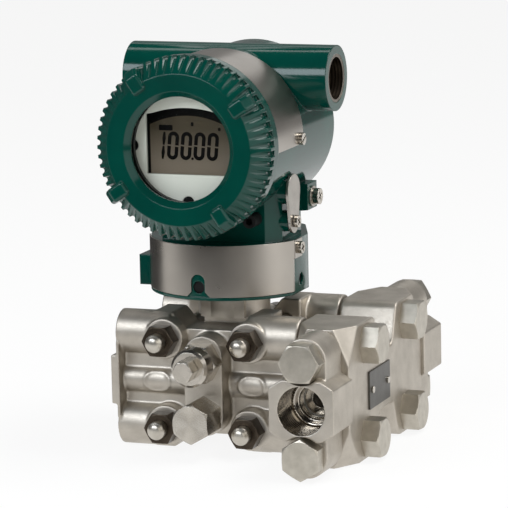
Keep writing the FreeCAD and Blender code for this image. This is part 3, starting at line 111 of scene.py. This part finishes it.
def finish(name, dark, light, cloud, rough, grain, depth, edge=0.0, worn=None, lines=None, fade=None,
           turned=None, **sockets):
    """A surface whose colour drifts from dark to light over clouds, with a bumpy grain; sizes in mm.

    edge rounds the corners to the light and worn is the colour rubbed onto them; lines are grooves, given
    as direction, pitch and depth; fade lets the colours run up the piece between two heights, without
    clouds; turned is the axis round which a lathe left its marks.
    """
    made = empty_material(name)
    tree = made.node_tree
    place = add_node(tree, "ShaderNodeTexCoord").outputs["Object"]
    if fade:
        height = add_node(tree, "ShaderNodeSeparateXYZ", {"Vector": place}).outputs["Z"]
        low, high = (spot(0, 0, level).z for level in fade)
        shade = add_node(tree, "ShaderNodeMapRange", {"Value": height, "From Min": low,
                                                      "From Max": high}).outputs["Result"]
    else:
        shade = add_node(tree, "ShaderNodeTexNoise", {"Vector": place, "Scale": 1 / mm(cloud),
                                                      "Detail": 4.0}).outputs["Fac"]
    tones = [(NOISE_LOW, dark), (NOISE_HIGH, light)]
    colour = add_node(tree, "ShaderNodeValToRGB", {"Fac": shade}, tones).outputs["Color"]
    pits = add_node(tree, "ShaderNodeTexNoise", {"Vector": place, "Scale": 1 / mm(grain), "Detail": 3.0})
    gloss = add_node(tree, "ShaderNodeMapRange", {
        "Value": pits.outputs["Fac"], "From Min": NOISE_LOW, "From Max": NOISE_HIGH,
        "To Min": rough[0], "To Max": rough[1]})
    bump = add_node(tree, "ShaderNodeBump", {"Height": pits.outputs["Fac"], "Distance": mm(depth),
                                             "Strength": 1.0})
    if edge:
        rounded = add_node(tree, "ShaderNodeBevel", {"Radius": mm(edge)}, samples=6).outputs["Normal"]
        tree.links.new(rounded, bump.inputs["Normal"])
    if worn:
        # The more the rounded corner leans away from the flat face, the more it is rubbed
        level, steep, most = 0.99, 0.84, 0.8
        flat = add_node(tree, "ShaderNodeNewGeometry").outputs["Normal"]
        along = add_node(tree, "ShaderNodeVectorMath", {0: rounded, 1: flat}, operation="DOT_PRODUCT")
        rub = add_node(tree, "ShaderNodeMapRange", {"Value": along.outputs["Value"], "From Min": level,
                                                    "From Max": steep, "To Min": 0.0, "To Max": most})
        colour = add_node(tree, "ShaderNodeMixRGB", {"Fac": rub.outputs["Result"], "Color1": colour,
                                                     "Color2": linear(worn)}).outputs["Color"]
    normal = bump.outputs["Normal"]
    if lines:
        way, pitch, cut = lines
        shift = add_node(tree, "ShaderNodeMapping", {"Vector": place, "Location": -spot(0, 0, 0)})
        groove = add_node(tree, "ShaderNodeTexWave", {"Vector": shift.outputs["Vector"],
                                                      "Scale": WAVE / mm(pitch)},
                          wave_type="BANDS", bands_direction=way)
        normal = add_node(tree, "ShaderNodeBump", {"Height": groove.outputs["Fac"], "Distance": mm(cut),
                                                   "Strength": 1.0, "Normal": normal}).outputs["Normal"]
    shader = add_node(tree, "ShaderNodeBsdfPrincipled", {
        "Base Color": colour, "Roughness": gloss.outputs["Result"], "Normal": normal, **sockets})
    if turned:
        lathe = add_node(tree, "ShaderNodeTangent", direction_type="RADIAL", axis=turned)
        tree.links.new(lathe.outputs["Tangent"], shader.inputs["Tangent"])
    add_node(tree, "ShaderNodeOutputMaterial", {"Surface": shader.outputs["BSDF"]})
    return made


METAL = {"Metallic": 1.0}
# Semi-gloss enamel sprayed on cast aluminium: deep even green, a faint orange peel, soft light on the edges
green_enamel = finish("green_enamel", "#00362E", "#003E34", 18, (0.1, 0.15), 1.6, 0.005, edge=0.7, IOR=1.5,
                      **{"Specular IOR Level": 0.4})
# Pickled stainless casting: matt warm grey with a fine sandy grain
cast_stainless = finish("cast_stainless", "#B3ACA1", "#C6BFB4", 9, (0.42, 0.54), 0.7, 0.02, **METAL)
# Turned stainless: brighter and smoother than the castings
turned_stainless = finish("turned_stainless", "#B3ADA3", "#C6C0B6", 6, (0.16, 0.26), 0.3, 0.004,
                          edge=0.4, **METAL)
# Faced plugs: fine rings left by the lathe, which fan the light out from the middle
faced_stainless = finish("faced_stainless", "#B3ADA3", "#C6C0B6", 6, (0.24, 0.3), 0.3, 0.003,
                         edge=0.4, turned="Y", Anisotropic=0.85, **METAL)
# Bright bolt steel: forged faces with a broad sheen
bolt_steel = finish("bolt_steel", "#B3ADA1", "#C6C0B4", 4, (0.34, 0.44), 0.6, 0.006, edge=0.5, **METAL)
# Rolled stud thread, bright at its crests
stud_steel = finish("stud_steel", "#B9B3A8", "#CAC4B9", 4, (0.3, 0.38), 0.4, 0.004, edge=0.6,
                    lines=("Y", 1.25, 0.06), **METAL)
# Phosphated nut steel: dark brown, slightly oily, rubbed lighter on its corners
dark_steel = finish("dark_phosphated_steel", "#3A332C", "#4A4239", 4, (0.26, 0.38), 0.4, 0.008, edge=0.5,
                    worn="#857A6C", **METAL)
# Black oxide screws: nearly black, without bright edges
black_steel = finish("black_oxide_steel", "#0B0B0B", "#131313", 3, (0.44, 0.54), 0.4, 0.008, edge=0.3,
                     **{"Specular IOR Level": 0.2})
# Bare casting in the conduit's tapped ends: brownish grey, ridged by the tap
conduit_thread = finish("conduit_thread", "#5C5247", "#6F6457", 3, (0.34, 0.44), 0.4, 0.01,
                        lines=("X", 1.5, 0.06), **METAL)
# Cut ends of the conduit: bare metal with a soft edge
bare_aluminium = finish("bare_cut_aluminium", "#756D63", "#888076", 4, (0.32, 0.42), 0.5, 0.01,
                        edge=0.4, **METAL)
# Tapped ports of the process flanges, brighter than the casting
port_thread = finish("port_thread", "#A39C92", "#BDB6AB", 5, (0.1, 0.16), 0.4, 0.003,
                     lines=("Y", 1.8, 0.05), **METAL)
# Satin stainless sheet, brushed too finely to read as lines
satin_sheet = finish("satin_stainless_sheet", "#A39D95", "#AFA9A1", 30, (0.27, 0.31), 20, 0.0005,
                     edge=0.3, **METAL)
# Satin stamped stainless of leaf and washer: pale, with rounded edges that catch the light
stamped_stainless = finish("stamped_stainless", "#A5A099", "#B4AFA7", 5, (0.3, 0.4), 0.4, 0.004,
                           edge=0.4, **METAL)
# Dark anodised tag: flat grey against the casting
tag_metal = finish("grey_anodised_tag", "#55534F", "#615F5B", 5, (0.34, 0.44), 0.4, 0.006,
                   edge=0.3, Metallic=0.8)
# Toughened glass, clear enough to read the display through
window_glass = finish("clear_window_glass", "#0A0F0D", "#0C1210", 20, (0.01, 0.02), 10, 0.0,
                      Alpha=0.05, IOR=1.5)
# Moulded black plastic: dull, so that it stays behind the glass
black_plastic = finish("black_moulded_plastic", "#0C0C0C", "#151515", 5, (0.4, 0.5), 0.5, 0.01)
# Greenish white moulding round the display, brighter than all about it
bezel_plastic = finish("pale_moulded_bezel", "#DFE3D6", "#E6E9DD", 12, (0.34, 0.44), 0.6, 0.004, edge=0.9)
# Liquid crystal panel: brown grey, darker towards the arch that shades it
display_panel = finish("display_panel", "#746A5B", "#463E2E", None, (0.3, 0.36), 4, 0.0, fade=(88, 126))
# Liquid crystal ink, nearly black, faintly brown; the same black also paints the shadow under the display's
# arch and down its left side
display_ink_and_shadow = finish("display_ink_and_shadow", "#040303", "#080605", 4, (0.6, 0.7), 1.0, 0.0,
                     **{"Specular IOR Level": 0.1})
# Solder-resist laminate of the boards: bright green with a half gloss
board_laminate = finish("green_board_laminate", "#0C4A24", "#115A2D", 6, (0.35, 0.45), 0.8, 0.01)
# Turned brass of the posts: yellow and bright
turned_brass = finish("turned_brass", "#B08D4C", "#C2A05C", 4, (0.2, 0.3), 0.3, 0.006, edge=0.3, **METAL)
# Moulded seal rubber: dull black
seal_rubber = finish("black_seal_rubber", "#0B0B0B", "#141414", 4, (0.55, 0.68), 0.5, 0.02)
# White fluoroplastic of the gaskets: a pale line between the castings
white_gasket = finish("white_gasket_plastic", "#CFCEC8", "#DCDBD5", 6, (0.4, 0.5), 0.5, 0.01)

# Which nodes wear which finish; the others are shaped further down
WORN_BY = {
    green_enamel: ("front_cover", "rear_cover"),
    cast_stainless: ("capsule_body",),
    turned_stainless: ("front_vent_plug", "rear_vent_plug", "front_vent_screw", "rear_vent_screw",
                       "orifice_plate", "tag_rivets", "terminal_screws"),
    faced_stainless: ("front_drain_plug", "rear_drain_plug"),
    bolt_steel: ("manifold_bolts", "process_flange_bolts"),
    stud_steel: ("capsule_bolts",),
    dark_steel: ("capsule_nuts",),
    black_steel: ("zero_adjust_screw", "collar_set_screws"),
    satin_sheet: ("collar_band", "nameplate_band"),
    stamped_stainless: ("zero_cover_leaf", "ground_washer"),
    tag_metal: ("tag_plate",),
    window_glass: ("window_glass",),
    black_plastic: ("glass_retainer", "terminal_block"),
    board_laminate: ("indicator_board", "main_board"),
    turned_brass: ("board_posts",),
    seal_rubber: ("front_cover_seal", "rear_cover_seal"),
    white_gasket: ("front_flange_gasket", "rear_flange_gasket", "orifice_gaskets", "outlet_gasket",
                   "manifold_gaskets"),
}


def dress(thing, *materials):
    """Puts materials into a piece's slots, the first on all its faces."""
    thing.data.materials.clear()
    for material in materials:
        thing.data.materials.append(material)


def dress_nodes():
    """Gives every CAD node that stays in view its finish."""
    for material, names in WORN_BY.items():
        for name in names:
            dress(shown[name], material)


def clear_selection():
    bpy.ops.object.select_all(action="DESELECT")


def take(piece):
    """Makes one piece the only selected object."""
    clear_selection()
    piece.select_set(True)
    bpy.context.view_layer.objects.active = piece


def finish_modifiers(piece):
    """Turns a piece's modifiers into its mesh."""
    take(piece)
    for modifier in list(piece.modifiers):
        bpy.ops.object.modifier_apply(modifier=modifier.name)


def joined_copy(node, label):
    """A copy of a CAD node with its loose triangles joined, ready to be shaped, standing for the node."""
    piece = bpy.data.objects.new(label, shown[node].data.copy())
    bpy.context.scene.collection.objects.link(piece)
    take(piece)
    bpy.ops.mesh.customdata_custom_splitnormals_clear()
    bpy.ops.object.mode_set(mode="EDIT")
    bpy.ops.mesh.select_all(action="SELECT")
    bpy.ops.mesh.remove_doubles(threshold=mm(WELD))
    bpy.ops.object.mode_set(mode="OBJECT")
    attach(piece, body_of[node])
    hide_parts(node)
    return piece


def choose_corners(piece, wanted):
    """Opens a piece for editing with only the wanted corners chosen."""
    bpy.ops.object.mode_set(mode="EDIT")
    bpy.ops.mesh.select_mode(type="VERT")
    bpy.ops.mesh.select_all(action="DESELECT")
    bpy.ops.object.mode_set(mode="OBJECT")
    for corner in piece.data.vertices:
        corner.select = wanted(corner.co)
    bpy.ops.object.mode_set(mode="EDIT")


def paint_faces(piece, slot, wanted):
    """Gives a slot's material to the faces whose middle, in mm from the capsule, and normal are wanted."""
    for face in piece.data.polygons:
        if wanted(face.center * 1000 - CAPSULE, face.normal):
            face.material_index = slot


def cast_skin(node, voxel, rounds, keep):
    """Gives a casting its rounded edges and corners: a fine skin over the solid, relaxed and thinned."""
    piece = joined_copy(node, f"soft_{node}")
    skin = piece.modifiers.new("skin", "REMESH")
    skin.mode = "VOXEL"
    skin.voxel_size = mm(voxel)
    relax = piece.modifiers.new("relax", "SMOOTH")
    relax.factor = 0.5
    relax.iterations = rounds
    thin = piece.modifiers.new("thin", "DECIMATE")
    thin.ratio = keep
    finish_modifiers(piece)
    bpy.ops.object.shade_smooth()
    return piece


def in_port(at, way):
    """Whether a face belongs to a softened port: the wall may stray outwards, other faces lie inside it."""
    is_wall = abs(way.y) < 0.7
    margin = PORT_MARGIN if is_wall else -PORT_MARGIN
    return math.hypot(at.x - RUN_X, at.z) < PORT_RADIUS + margin


def soften_castings():
    """Flanges and manifold with the soft corners of sand castings; ports keep their bright thread."""
    for node in ("front_flange", "rear_flange", "manifold_body"):
        dress(cast_skin(node, voxel=0.5, rounds=8, keep=0.4), cast_stainless)
    thread = 1
    for node in ("front_process_flange", "rear_process_flange"):
        piece = cast_skin(node, voxel=0.45, rounds=6, keep=0.35)
        dress(piece, cast_stainless, port_thread)
        paint_faces(piece, thread, in_port)


def cut_away(piece, cutters):
    """Cuts the shape of each cutter out of a piece and throws the cutters away."""
    for cutter in cutters:
        hollow = piece.modifiers.new("hollow", "BOOLEAN")
        hollow.object = cutter
        hollow.solver = "EXACT"
        finish_modifiers(piece)
        bpy.data.objects.remove(cutter)
    take(piece)
    bpy.ops.object.shade_smooth_by_angle(angle=CREASE)


def bar(size, place, turn):
    """A cutter bar of a size in mm, centred on a place."""
    clear_selection()
    bpy.ops.mesh.primitive_cube_add(size=1.0, location=spot(*place), rotation=turn,
                                    scale=[mm(length) for length in size])
    return bpy.context.object


def mill(sides, radius, depth, place, turn):
    """A round or many-sided cutter centred on a place."""
    clear_selection()
    bpy.ops.mesh.primitive_cylinder_add(vertices=sides, radius=mm(radius), depth=mm(depth),
                                        location=spot(*place), rotation=turn)
    return bpy.context.object


def trim_conduit(piece):
    """Mills a shallow step into the conduit's end rings, so that the paint can end short of the bore."""
    middle = CONDUIT_END + CUTTER_LENGTH / 2 - TRIM_DEPTH
    cut_away(piece, [mill(64, CONDUIT_TRIM, CUTTER_LENGTH, (end * middle, CONDUIT_Y, CONDUIT_Z),
                          (0, QUARTER, 0)) for end in (1, -1)])


def from_conduit(at):
    """How far a place is from the conduit's axis."""
    return math.hypot(at.y - CONDUIT_Y, at.z - CONDUIT_Z)


def paint_housing():
    """The housing's enamel, left off the conduit's threads and cut ends."""
    piece = joined_copy("amplifier_housing", "painted_housing")
    dress(piece, green_enamel, conduit_thread, bare_aluminium)
    thread, cut_end = 1, 2
    trim_conduit(piece)
    paint_faces(piece, cut_end, lambda at, way: abs(at.x) > CONDUIT_END - 2 * TRIM_DEPTH
                and from_conduit(at) < CONDUIT_TRIM)
    paint_faces(piece, thread, lambda at, way: abs(at.x) > CONDUIT_INNER and abs(way.x) < 0.5
                and from_conduit(at) < CONDUIT_BORE + BORE_MARGIN)


def cut_screw_heads():
    """Driver recesses: slots in the band's screws, crosses in the side screws, a socket in the lock screw."""
    slot, name_lean = 0.9, 0.5
    slotted = joined_copy("nameplate_screws", "slotted_name_screws")
    dress(slotted, turned_stainless)
    cut_away(slotted, [bar((1.6, 6.0, slot), (side * 39.3, -13.5, 106.5), (side * name_lean, 0, 0))
                       for side in (1, -1)])
    # Middle of the head's face, length of the cross and its lean
    for node, face, y, z, reach, lean in (("collar_band_screw", 36.2, -8.9, 57.8, 3.6, 0.3),
                                          ("leaf_screw", 36.7, -14.5, 70.3, 3.6, 0.9),
                                          ("ground_screw", 36.8, 13.0, 77.0, 4.8, 0.5)):
        crossed = joined_copy(node, f"crossed_{node}")
        dress(crossed, turned_stainless)
        cut_away(crossed, [bar((2.2, reach, slot), (face, y, z), (lean + turn, 0, 0))
                           for turn in (0, QUARTER)])
    lock = joined_copy("cover_lock_screw", "socket_lock_screw")
    dress(lock, black_steel)
    cut_away(lock, [mill(6, 1.7, 6.0, (20.0, -32.0, 72.3), (QUARTER, 0, 0))])


def digit_bar(length, width):
    """One bar of a digit, pointed at both ends, lying at the origin."""
    clear_selection()
    bpy.ops.mesh.primitive_circle_add(vertices=6, radius=mm(width / 2), fill_type="NGON",
                                      rotation=(QUARTER, 0, 0))
    made = bpy.context.object
    bpy.ops.object.transform_apply(location=False, rotation=True, scale=True)
    for side in (1, -1):
        choose_corners(made, lambda at: at.x * side > mm(HAIR))
        bpy.ops.transform.translate(value=(side * mm(length - width) / 2, 0, 0))
        bpy.ops.object.mode_set(mode="OBJECT")
    return made


def half_nought(span, stroke, leg):
    """The upper half of a nought: a round arch on two straight legs, its centre at the origin."""
    clear_selection()
    bpy.ops.mesh.primitive_circle_add(vertices=24, radius=mm(span + stroke) / 2, fill_type="NGON",
                                      rotation=(QUARTER, 0, 0))
    made = bpy.context.object
    bpy.ops.object.transform_apply(location=False, rotation=True, scale=True)
    bpy.ops.object.mode_set(mode="EDIT")
    bpy.ops.mesh.select_mode(type="FACE")
    bpy.ops.mesh.select_all(action="SELECT")
    bpy.ops.mesh.inset(thickness=mm(stroke))
    bpy.ops.mesh.delete(type="FACE")
    bpy.ops.object.mode_set(mode="OBJECT")
    choose_corners(made, lambda at: at.z < mm(-HAIR))
    bpy.ops.mesh.delete(type="VERT")
    bpy.ops.object.mode_set(mode="OBJECT")
    choose_corners(made, lambda at: at.z < mm(HAIR))
    bpy.ops.mesh.extrude_region_move(TRANSFORM_OT_translate={"value": (0, 0, mm(-leg))})
    bpy.ops.mesh.select_all(action="SELECT")
    bpy.ops.mesh.normals_make_consistent(inside=False)
    bpy.ops.object.mode_set(mode="OBJECT")
    return made


def give_thickness(piece, label):
    """Turns a flat mark on the display into a thin solid with its place in its mesh."""
    take(piece)
    piece.name = label
    bpy.ops.object.transform_apply(location=True, rotation=True, scale=True)
    ink = piece.modifiers.new("ink", "SOLIDIFY")
    ink.thickness = mm(INK_THICKNESS)
    ink.offset = 0.0
    finish_modifiers(piece)
    dress(piece, display_ink_and_shadow)
    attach(piece, "housing")


def shift_left_screw(piece):
    """Moves the corners of the left bezel screw, or of its hole, out towards the rim."""
    reach, shift = 4.5, -1.1
    screw = Vector((-POST_CIRCLE, DISPLAY_FRONT, BARREL_Z))
    choose_corners(piece, lambda at: (at * 1000 - CAPSULE - screw).length < reach)
    bpy.ops.transform.translate(value=(mm(shift), 0, 0))
    bpy.ops.object.mode_set(mode="OBJECT")


def widen_display():
    """The display fills its opening to the window's edge; the left screw stands close to the rim."""
    # The opening's upright edges run between these heights and are found this near their place
    foot, top, near = 90, 126, 0.6
    for node, label, material, slot, edge in (
            ("indicator_bezel", "wide_bezel", bezel_plastic, "bezel_plastic", 17.2),
            ("lcd_panel", "wide_display_panel", display_panel, "display", 18.8)):
        piece = joined_copy(node, label)
        dress(piece, material)
        for side, shift in ((-1, -1.7), (1, 3.6)):
            choose_corners(piece, lambda at: abs(at.x * 1000 - CAPSULE.x - side * edge) < near
                           and foot < at.z * 1000 - CAPSULE.z < top)
            bpy.ops.transform.translate(value=(mm(shift), 0, 0))
            bpy.ops.object.mode_set(mode="OBJECT")
        bpy.ops.object.shade_smooth_by_angle(angle=CREASE)
        if node == "indicator_bezel":
            shift_left_screw(piece)
    screws = joined_copy("bezel_screws", "black_bezel_screws")
    dress(screws, black_steel)
    shift_left_screw(screws)
    bpy.ops.object.shade_smooth_by_angle(angle=CREASE)


def display_digits():
    """The reading on the display: a one of two pointed bars, noughts of two halves and a point."""
    span, height, stroke, slant = 3.5, 12.2, 1.6, 0.1
    foot, first, pitch = 101.2, -15.0, 6.1
    nought_gap, bar_gap = 0.3, 0.2
    dot, dot_left, dot_up = 0.6, 1.6, 0.7
    crown = (span + stroke) / 2
    half = half_nought(span, stroke, height / 2 - crown - nought_gap)
    upright = digit_bar(height / 2 - bar_gap, stroke)
    bars = []

    def lay(pattern, x, z, turn):
        copy = pattern.copy()
        copy.data = pattern.data.copy()
        bpy.context.scene.collection.objects.link(copy)
        copy.location = spot(x + slant * (z - foot - height / 2), DISPLAY_FRONT - INK_LIFT, z)
        copy.rotation_euler = (0, turn, 0)
        bars.append(copy)

    for z in (foot + height / 4, foot + 3 * height / 4):
        lay(upright, first + span, z, slant - QUARTER)
    for index in range(1, 5):
        middle = first + pitch * index + span / 2
        lay(half, middle, foot + height - crown, slant)
        lay(half, middle, foot + crown, slant + math.pi)
    for pattern in (half, upright):
        bpy.data.objects.remove(pattern)
    clear_selection()
    point = spot(first + 3 * pitch - dot_left, DISPLAY_FRONT - INK_LIFT, foot + dot_up)
    bpy.ops.mesh.primitive_circle_add(vertices=12, radius=mm(dot), fill_type="NGON", location=point,
                                      rotation=(QUARTER, 0, 0))
    for piece in bars:
        piece.select_set(True)
    bpy.ops.object.join()
    give_thickness(bpy.context.object, "display_digits")


def flat_mark(x, z, wide, tall, columns):
    """A flat oblong on the display's face, divided into columns."""
    clear_selection()
    bpy.ops.mesh.primitive_grid_add(x_subdivisions=columns, y_subdivisions=1, size=1.0,
                                    rotation=(QUARTER, 0, 0))
    mark = bpy.context.object
    bpy.ops.transform.resize(value=(mm(wide), 1.0, mm(tall)))
    bpy.ops.transform.translate(value=spot(x, DISPLAY_FRONT - INK_LIFT, z))
    bpy.ops.object.transform_apply(location=True, rotation=True, scale=True)
    return mark


def painted_arch_shadow():
    """A painted shadow under the arched top of the display: a black band, thicker towards its ends."""
    left, right, top, band = -19.0, 20.8, 125.5, 5.1
    top_drop, foot_drop, columns = 2.4, 4.8, 24
    # The band is painted shadow, not print
    arch = flat_mark((left + right) / 2, top - band / 2, right - left, band, columns)
    for x in sorted({round(corner.co.x, 6) for corner in arch.data.vertices}):
        share = (x * 1000 - CAPSULE.x) / left
        for above, drop in ((True, top_drop), (False, foot_drop)):
            choose_corners(arch, lambda at: abs(at.x - x) < mm(HAIR)
                           and (at.z > spot(0, 0, top - band / 2).z) == above)
            bpy.ops.transform.translate(value=(0, 0, mm(-drop * share * share)))
            bpy.ops.object.mode_set(mode="OBJECT")
    give_thickness(arch, "painted_arch_shadow")


def display_marks():
    """A painted shadow down the display's left side, the unit box and the two small signs."""
    corner = 0.4
    # The first mark is a painted shadow down the display's left side; the others are printed on the display
    for label, x, z, wide, tall in (("display_left_shadow", -18.3, 107.6, 1.4, 25.6),
                                    ("display_unit_box", -10.3, 115.0, 6.3, 2.4),
                                    ("display_upper_sign", 1.9, 116.8, 1.3, 1.7),
                                    ("display_right_sign", 14.3, 114.9, 1.2, 1.4)):
        mark = flat_mark(x, z, wide, tall, 1)
        bpy.ops.object.mode_set(mode="EDIT")
        bpy.ops.mesh.select_all(action="SELECT")
        bpy.ops.mesh.bevel(offset=mm(corner), segments=2, affect="VERTICES")
        bpy.ops.object.mode_set(mode="OBJECT")
        give_thickness(mark, label)


def facing(place, aim):
    """The turn of a camera, lamp or card at a place that looks at its aim."""
    return (Vector(place) - Vector(aim)).to_track_quat("Z", "Y")


def set_camera():
    """The photograph's view: a long lens, a little above and to the right of the indicator."""
    eye, aim = (0.5094, -1.3515, 0.3409), (-0.00584, 0.0, 0.082424)
    roll = math.radians(-1.257)
    turn = facing(eye, aim) @ Quaternion((0, 0, 1), roll)
    bpy.ops.object.camera_add(location=eye, rotation=turn.to_euler())
    camera = bpy.context.object
    camera.data.lens = 235.0
    camera.data.sensor_width = 36.0
    camera.data.clip_end = 20.0
    bpy.context.scene.camera = camera


def softbox(name, place, aim, width, height, power, colour):
    """An oblong lamp; lengths in metres and power in watts."""
    bpy.ops.object.light_add(type="AREA", location=place, rotation=facing(place, aim).to_euler())
    lamp = bpy.context.object
    lamp.name = name
    lamp.data.shape = "RECTANGLE"
    lamp.data.size = width
    lamp.data.size_y = height
    lamp.data.energy = power
    lamp.data.color = linear(colour)[:3]


def studio_card(name, place, aim, width, height, tone):
    """A card that only reflections see: it gives gloss and metal tones to show besides white."""
    clear_selection()
    bpy.ops.mesh.primitive_plane_add(size=1.0, location=place, rotation=facing(place, aim).to_euler())
    card = bpy.context.object
    card.name = name
    card.scale = (width, height, 1.0)
    card.visible_camera = False
    card.visible_diffuse = False
    card.visible_shadow = False
    grey = empty_material(f"{name}_grey")
    tree = grey.node_tree
    glow = add_node(tree, "ShaderNodeEmission", {"Color": linear(tone), "Strength": 1.0})
    add_node(tree, "ShaderNodeOutputMaterial", {"Surface": glow.outputs["Emission"]})
    card.data.materials.append(grey)


def seen_white(tree, low):
    """A strength that is 1 to the eye, in reflections and through glass, and low for the light it gives."""
    path = add_node(tree, "ShaderNodeLightPath").outputs
    seen = path["Is Camera Ray"]
    for other in ("Is Glossy Ray", "Is Transmission Ray"):
        seen = add_node(tree, "ShaderNodeMath", {0: seen, 1: path[other]}, operation="MAXIMUM").outputs[0]
    return add_node(tree, "ShaderNodeMapRange", {"Value": seen, "To Min": low,
                                                 "To Max": 1.0}).outputs["Result"]


def set_lamps():
    """Soft lamps round the part: name, place, width, height, watts and colour."""
    middle = (0.0, 0.0, 0.08)
    for name, place, width, height, power, colour in (
            ("key_softbox", (-0.5, -0.97, 0.68), 1.0, 0.42, 9.5, "#F1F7FF"),
            ("top_strip", (-0.42, 0.34, 1.15), 0.9, 0.12, 0.9, "#FFFFFF"),
            ("top_softbox", (0.48, 0.1, 1.1), 0.6, 0.5, 8.0, "#FFFFFF"),
            ("fill_softbox", (0.9, -1.3, 0.6), 0.9, 0.7, 3.0, "#FFFCF6"),
            ("right_softbox", (1.1, -0.2, 0.4), 0.5, 0.8, 2.0, "#FFFFFF")):
        softbox(name, place, middle, width, height, power, colour)


def set_cards():
    """Cards that the metal and the paint reflect: name, place, aim, width, height and tone."""
    for name, place, aim, width, height, tone in (
            ("near_floor_card", (-0.2, -0.95, 0.002), (-0.2, -0.95, -1.0), 3.0, 1.3, "#181818"),
            ("far_floor_card", (-1.25, 1.0, 0.002), (-1.25, 1.0, -1.0), 2.1, 2.0, "#484848"),
            ("back_card", (0.0, 2.0, 0.8), (0.0, 0.0, 0.8), 5.0, 1.6, "#848484"),
            ("band_glow_card", (-0.2, 1.98, 0.98), (-0.2, 0.0, 0.98), 0.7, 0.5, "#FFFFFF"),
            ("front_card", (0.0, -1.9, 1.0), (0.0, 0.0, 1.0), 4.0, 2.0, "#202020"),
            ("top_card", (0.0, 0.0, 1.8), (0.0, 0.0, 0.0), 4.0, 3.6, "#303030"),
            ("left_card", (-1.6, 0.0, 0.8), (0.0, 0.0, 0.8), 3.0, 1.6, "#585858")):
        studio_card(name, place, aim, width, height, tone)


def set_surroundings():
    """White to the eye and in reflections, but dim as a light."""
    dim = 0.3
    world = bpy.context.scene.world or bpy.data.worlds.new("studio")
    bpy.context.scene.world = world
    world.use_nodes = True
    tree = world.node_tree
    tree.nodes.clear()
    sky = add_node(tree, "ShaderNodeBackground", {"Color": linear("#FFFFFF"),
                                                  "Strength": seen_white(tree, dim)})
    add_node(tree, "ShaderNodeOutputWorld", {"Surface": sky.outputs["Background"]})


def lay_floor():
    """A pale floor that is mostly plain white to the eye and keeps a trace of the part's shadow."""
    white_share = 0.88
    clear_selection()
    bpy.ops.mesh.primitive_plane_add(size=12.0, location=(0.0, 0.0, -0.0002))
    floor = bpy.context.object
    floor.name = "studio_floor"
    paper = empty_material("white_studio_paper")
    tree = paper.node_tree
    matt = add_node(tree, "ShaderNodeBsdfDiffuse", {"Color": linear("#F2F2F0")})
    white = add_node(tree, "ShaderNodeEmission", {"Color": linear("#FFFFFF"), "Strength": 1.0})
    share = add_node(tree, "ShaderNodeMath", {0: seen_white(tree, 0.0), 1: white_share},
                     operation="MULTIPLY")
    blend = add_node(tree, "ShaderNodeMixShader", {"Fac": share.outputs[0]})
    tree.links.new(matt.outputs[0], blend.inputs[1])
    tree.links.new(white.outputs[0], blend.inputs[2])
    add_node(tree, "ShaderNodeOutputMaterial", {"Surface": blend.outputs[0]})
    floor.data.materials.append(paper)


dress_nodes()
soften_castings()
paint_housing()
cut_screw_heads()
widen_display()
display_digits()
painted_arch_shadow()
display_marks()
set_camera()
set_lamps()
set_cards()
set_surroundings()
lay_floor()
bpy.context.scene.view_settings.view_transform = "Standard"
